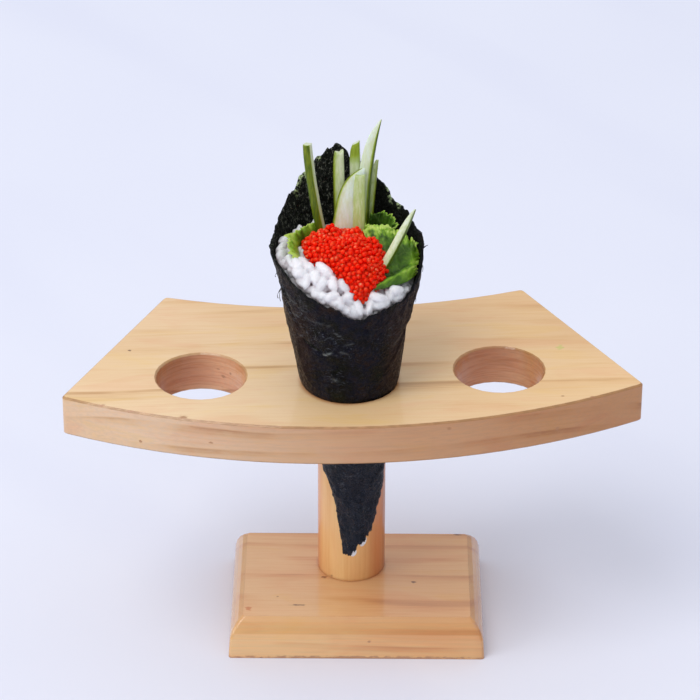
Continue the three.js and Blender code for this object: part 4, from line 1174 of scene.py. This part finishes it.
# The deep brown spots near X -14 lie on the post and on the base, where the post stands on the base.
POST_MARKS = [((-17.5, -4.4, 58), 0.9, 1.0, RUST), ((-13.6, -3.6, 20), 1.3, 1.8, JOINT_SPOT)]
BASE_MARKS = [
    ((26.6, -6.3, 19), 0.9, 1.6, DARK_SPOT), ((-50, -29, 19), 1.9, 0.9, (0.62, 0.20, 0.05)),
    ((-27.6, -26, 19), 0.8, 5.0, DARK_SPOT), ((-36.7, -19, 19), 0.7, 1.2, RUST),
    ((48, 34.5, 18.6), 1.0, 2.6, DARK_SPOT), ((-15.2, -2.6, 19.1), 1.0, 1.8, JOINT_SPOT),
    ((-43.9, -41.4, -0.4), 1.7, 1.3, DARK_SPOT), ((5.8, -41, 9.2), 0.8, 1.4, RUST),
    # The long mark is a dark line along the base's front bottom edge, where it stands on the floor.
    ((0, -41.7, -0.2), 1.7, 48, (0.44, 0.21, 0.10)), ((57, -38, 17), 3.0, 1.2, BRUISE),
    ((55, 36, 18), 3.4, 1.6, BRUISE)]
# Painted light and shade that the wood is multiplied by, from left to right or from front to rear:
# the board darker towards the right and towards the rear, the post with a painted highlight left of
# its middle and painted shade at its edges, the base with painted shade on its ends.
PLAIN = (1, 1, 1)
BOARD_SHADE_X = [(-110, PLAIN), (110, (0.94, 0.87, 0.75))]
BOARD_SHADE_Y = [(-20, PLAIN), (15, (0.955, 0.925, 0.905))]
POST_LIGHT_AND_SHADE_X = [(-19.4, (0.82, 0.48, 0.34)), (-15, PLAIN), (-8, (1.02, 1.1, 1.15)),
             (2, (0.95, 0.92, 0.90)), (10, (0.72, 0.46, 0.38)), (15, (0.36, 0.17, 0.12))]
BASE_END_SHADE = [(-59.4, (0.82, 0.72, 0.64)), (-57.4, PLAIN), (53, (0.96, 0.91, 0.85)),
             (57, (0.92, 0.84, 0.77)), (59.4, (0.76, 0.62, 0.54))]
# Round walls: centre, the distances that they are sought between, and -1 where the wall faces in.
HOLES = [((-69.84, -25.57), (21, 22), -1), ((63.15, -18.13), (21, 22), -1)]
POST_WALL = [((-2.7, 9.6), (17, 18), 1)]
BOARD_TURN = radians(-3.2)
# Places along the strips' foot lines.
LEFT_FOOT = [(-22.2, -38.5, 204.6), (-25.2, -31.5, 205.2), (-24.8, -22.5, 205.6), (-17.2, -12.2, 206.4)]
BACK_FOOT = [(1.2, -17.4, 206.4), (7.5, -19.4, 207), (14.6, -17.2, 206.8), (14.2, -12.6, 206.8),
             (9.4, -10.4, 206.8), (4.2, -11.2, 206.8)]


def dress_wood():
    board = wood_material(
        "pine_board", ((0.91, 0.665, 0.40), (0.83, 0.56, 0.29), (0.50, 0.25, 0.09)), (-75, 40), 10.0,
        0.75, turn=BOARD_TURN, marks=BOARD_MARKS, rounds=HOLES, painted_light_x=BOARD_SHADE_X, painted_shade_y=BOARD_SHADE_Y,
        shade_chamfer=True)
    post = wood_material(
        "pine_post", ((0.94, 0.57, 0.24), (0.85, 0.45, 0.165), (0.54, 0.20, 0.05)), (-6, 30), 9.0, 0.3,
        along_z=True, marks=POST_MARKS, rounds=POST_WALL, painted_light_x=POST_LIGHT_AND_SHADE_X)
    base = wood_material(
        "pine_base", ((0.84, 0.53, 0.27), (0.75, 0.40, 0.18), (0.48, 0.20, 0.08)), (-60, -60), 9.0, 0.75,
        marks=BASE_MARKS, sides=BASE_SIDE_SHADE, painted_light_x=BASE_END_SHADE, gloss=1.0)
    for name, material in (("stand_board", board), ("stand_post", post), ("stand_base", base)):
        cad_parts[name].material_slots[0].material = material


def lay_floor(half=4):
    """A square floor, with half its side in metres."""
    corners = [(-half, -half, 0), (half, -half, 0), (half, half, 0), (-half, half, 0)]
    mesh = bpy.data.meshes.new("floor")
    mesh.from_pydata(corners, [], [(0, 1, 2, 3)])
    mesh.materials.append(floor_material())
    floor = linked("floor", mesh)


place_camera()
light_scene()
lay_floor()
dress_wood()
nori = nori_material()
build_nori(nori)
build_frays(nori)
build_rice(rice_material())
build_roe(roe_material())
build_sticks(cucumber_material())
lettuce = lettuce_material()
build_strip("lettuce_left_leaf", "lettuce_left", LEFT_FOOT, (8.0, 9.8, 7.4, 5.0), ((30, 64), (4, 26)),
            2.4, 1.0, ((0.6, 1.0), (0.0, 0.45)), lettuce)
build_strip("lettuce_back_leaf", "lettuce_back", BACK_FOOT, (6.2, 6.6, 5.6, 7.0, 8.8, 7.6),
            ((0, 34), (-6, 26)), 5.2, 0.9, ((0.45, 0.7), (-0.3, 0.0)), lettuce)
build_folded_leaf(lettuce)
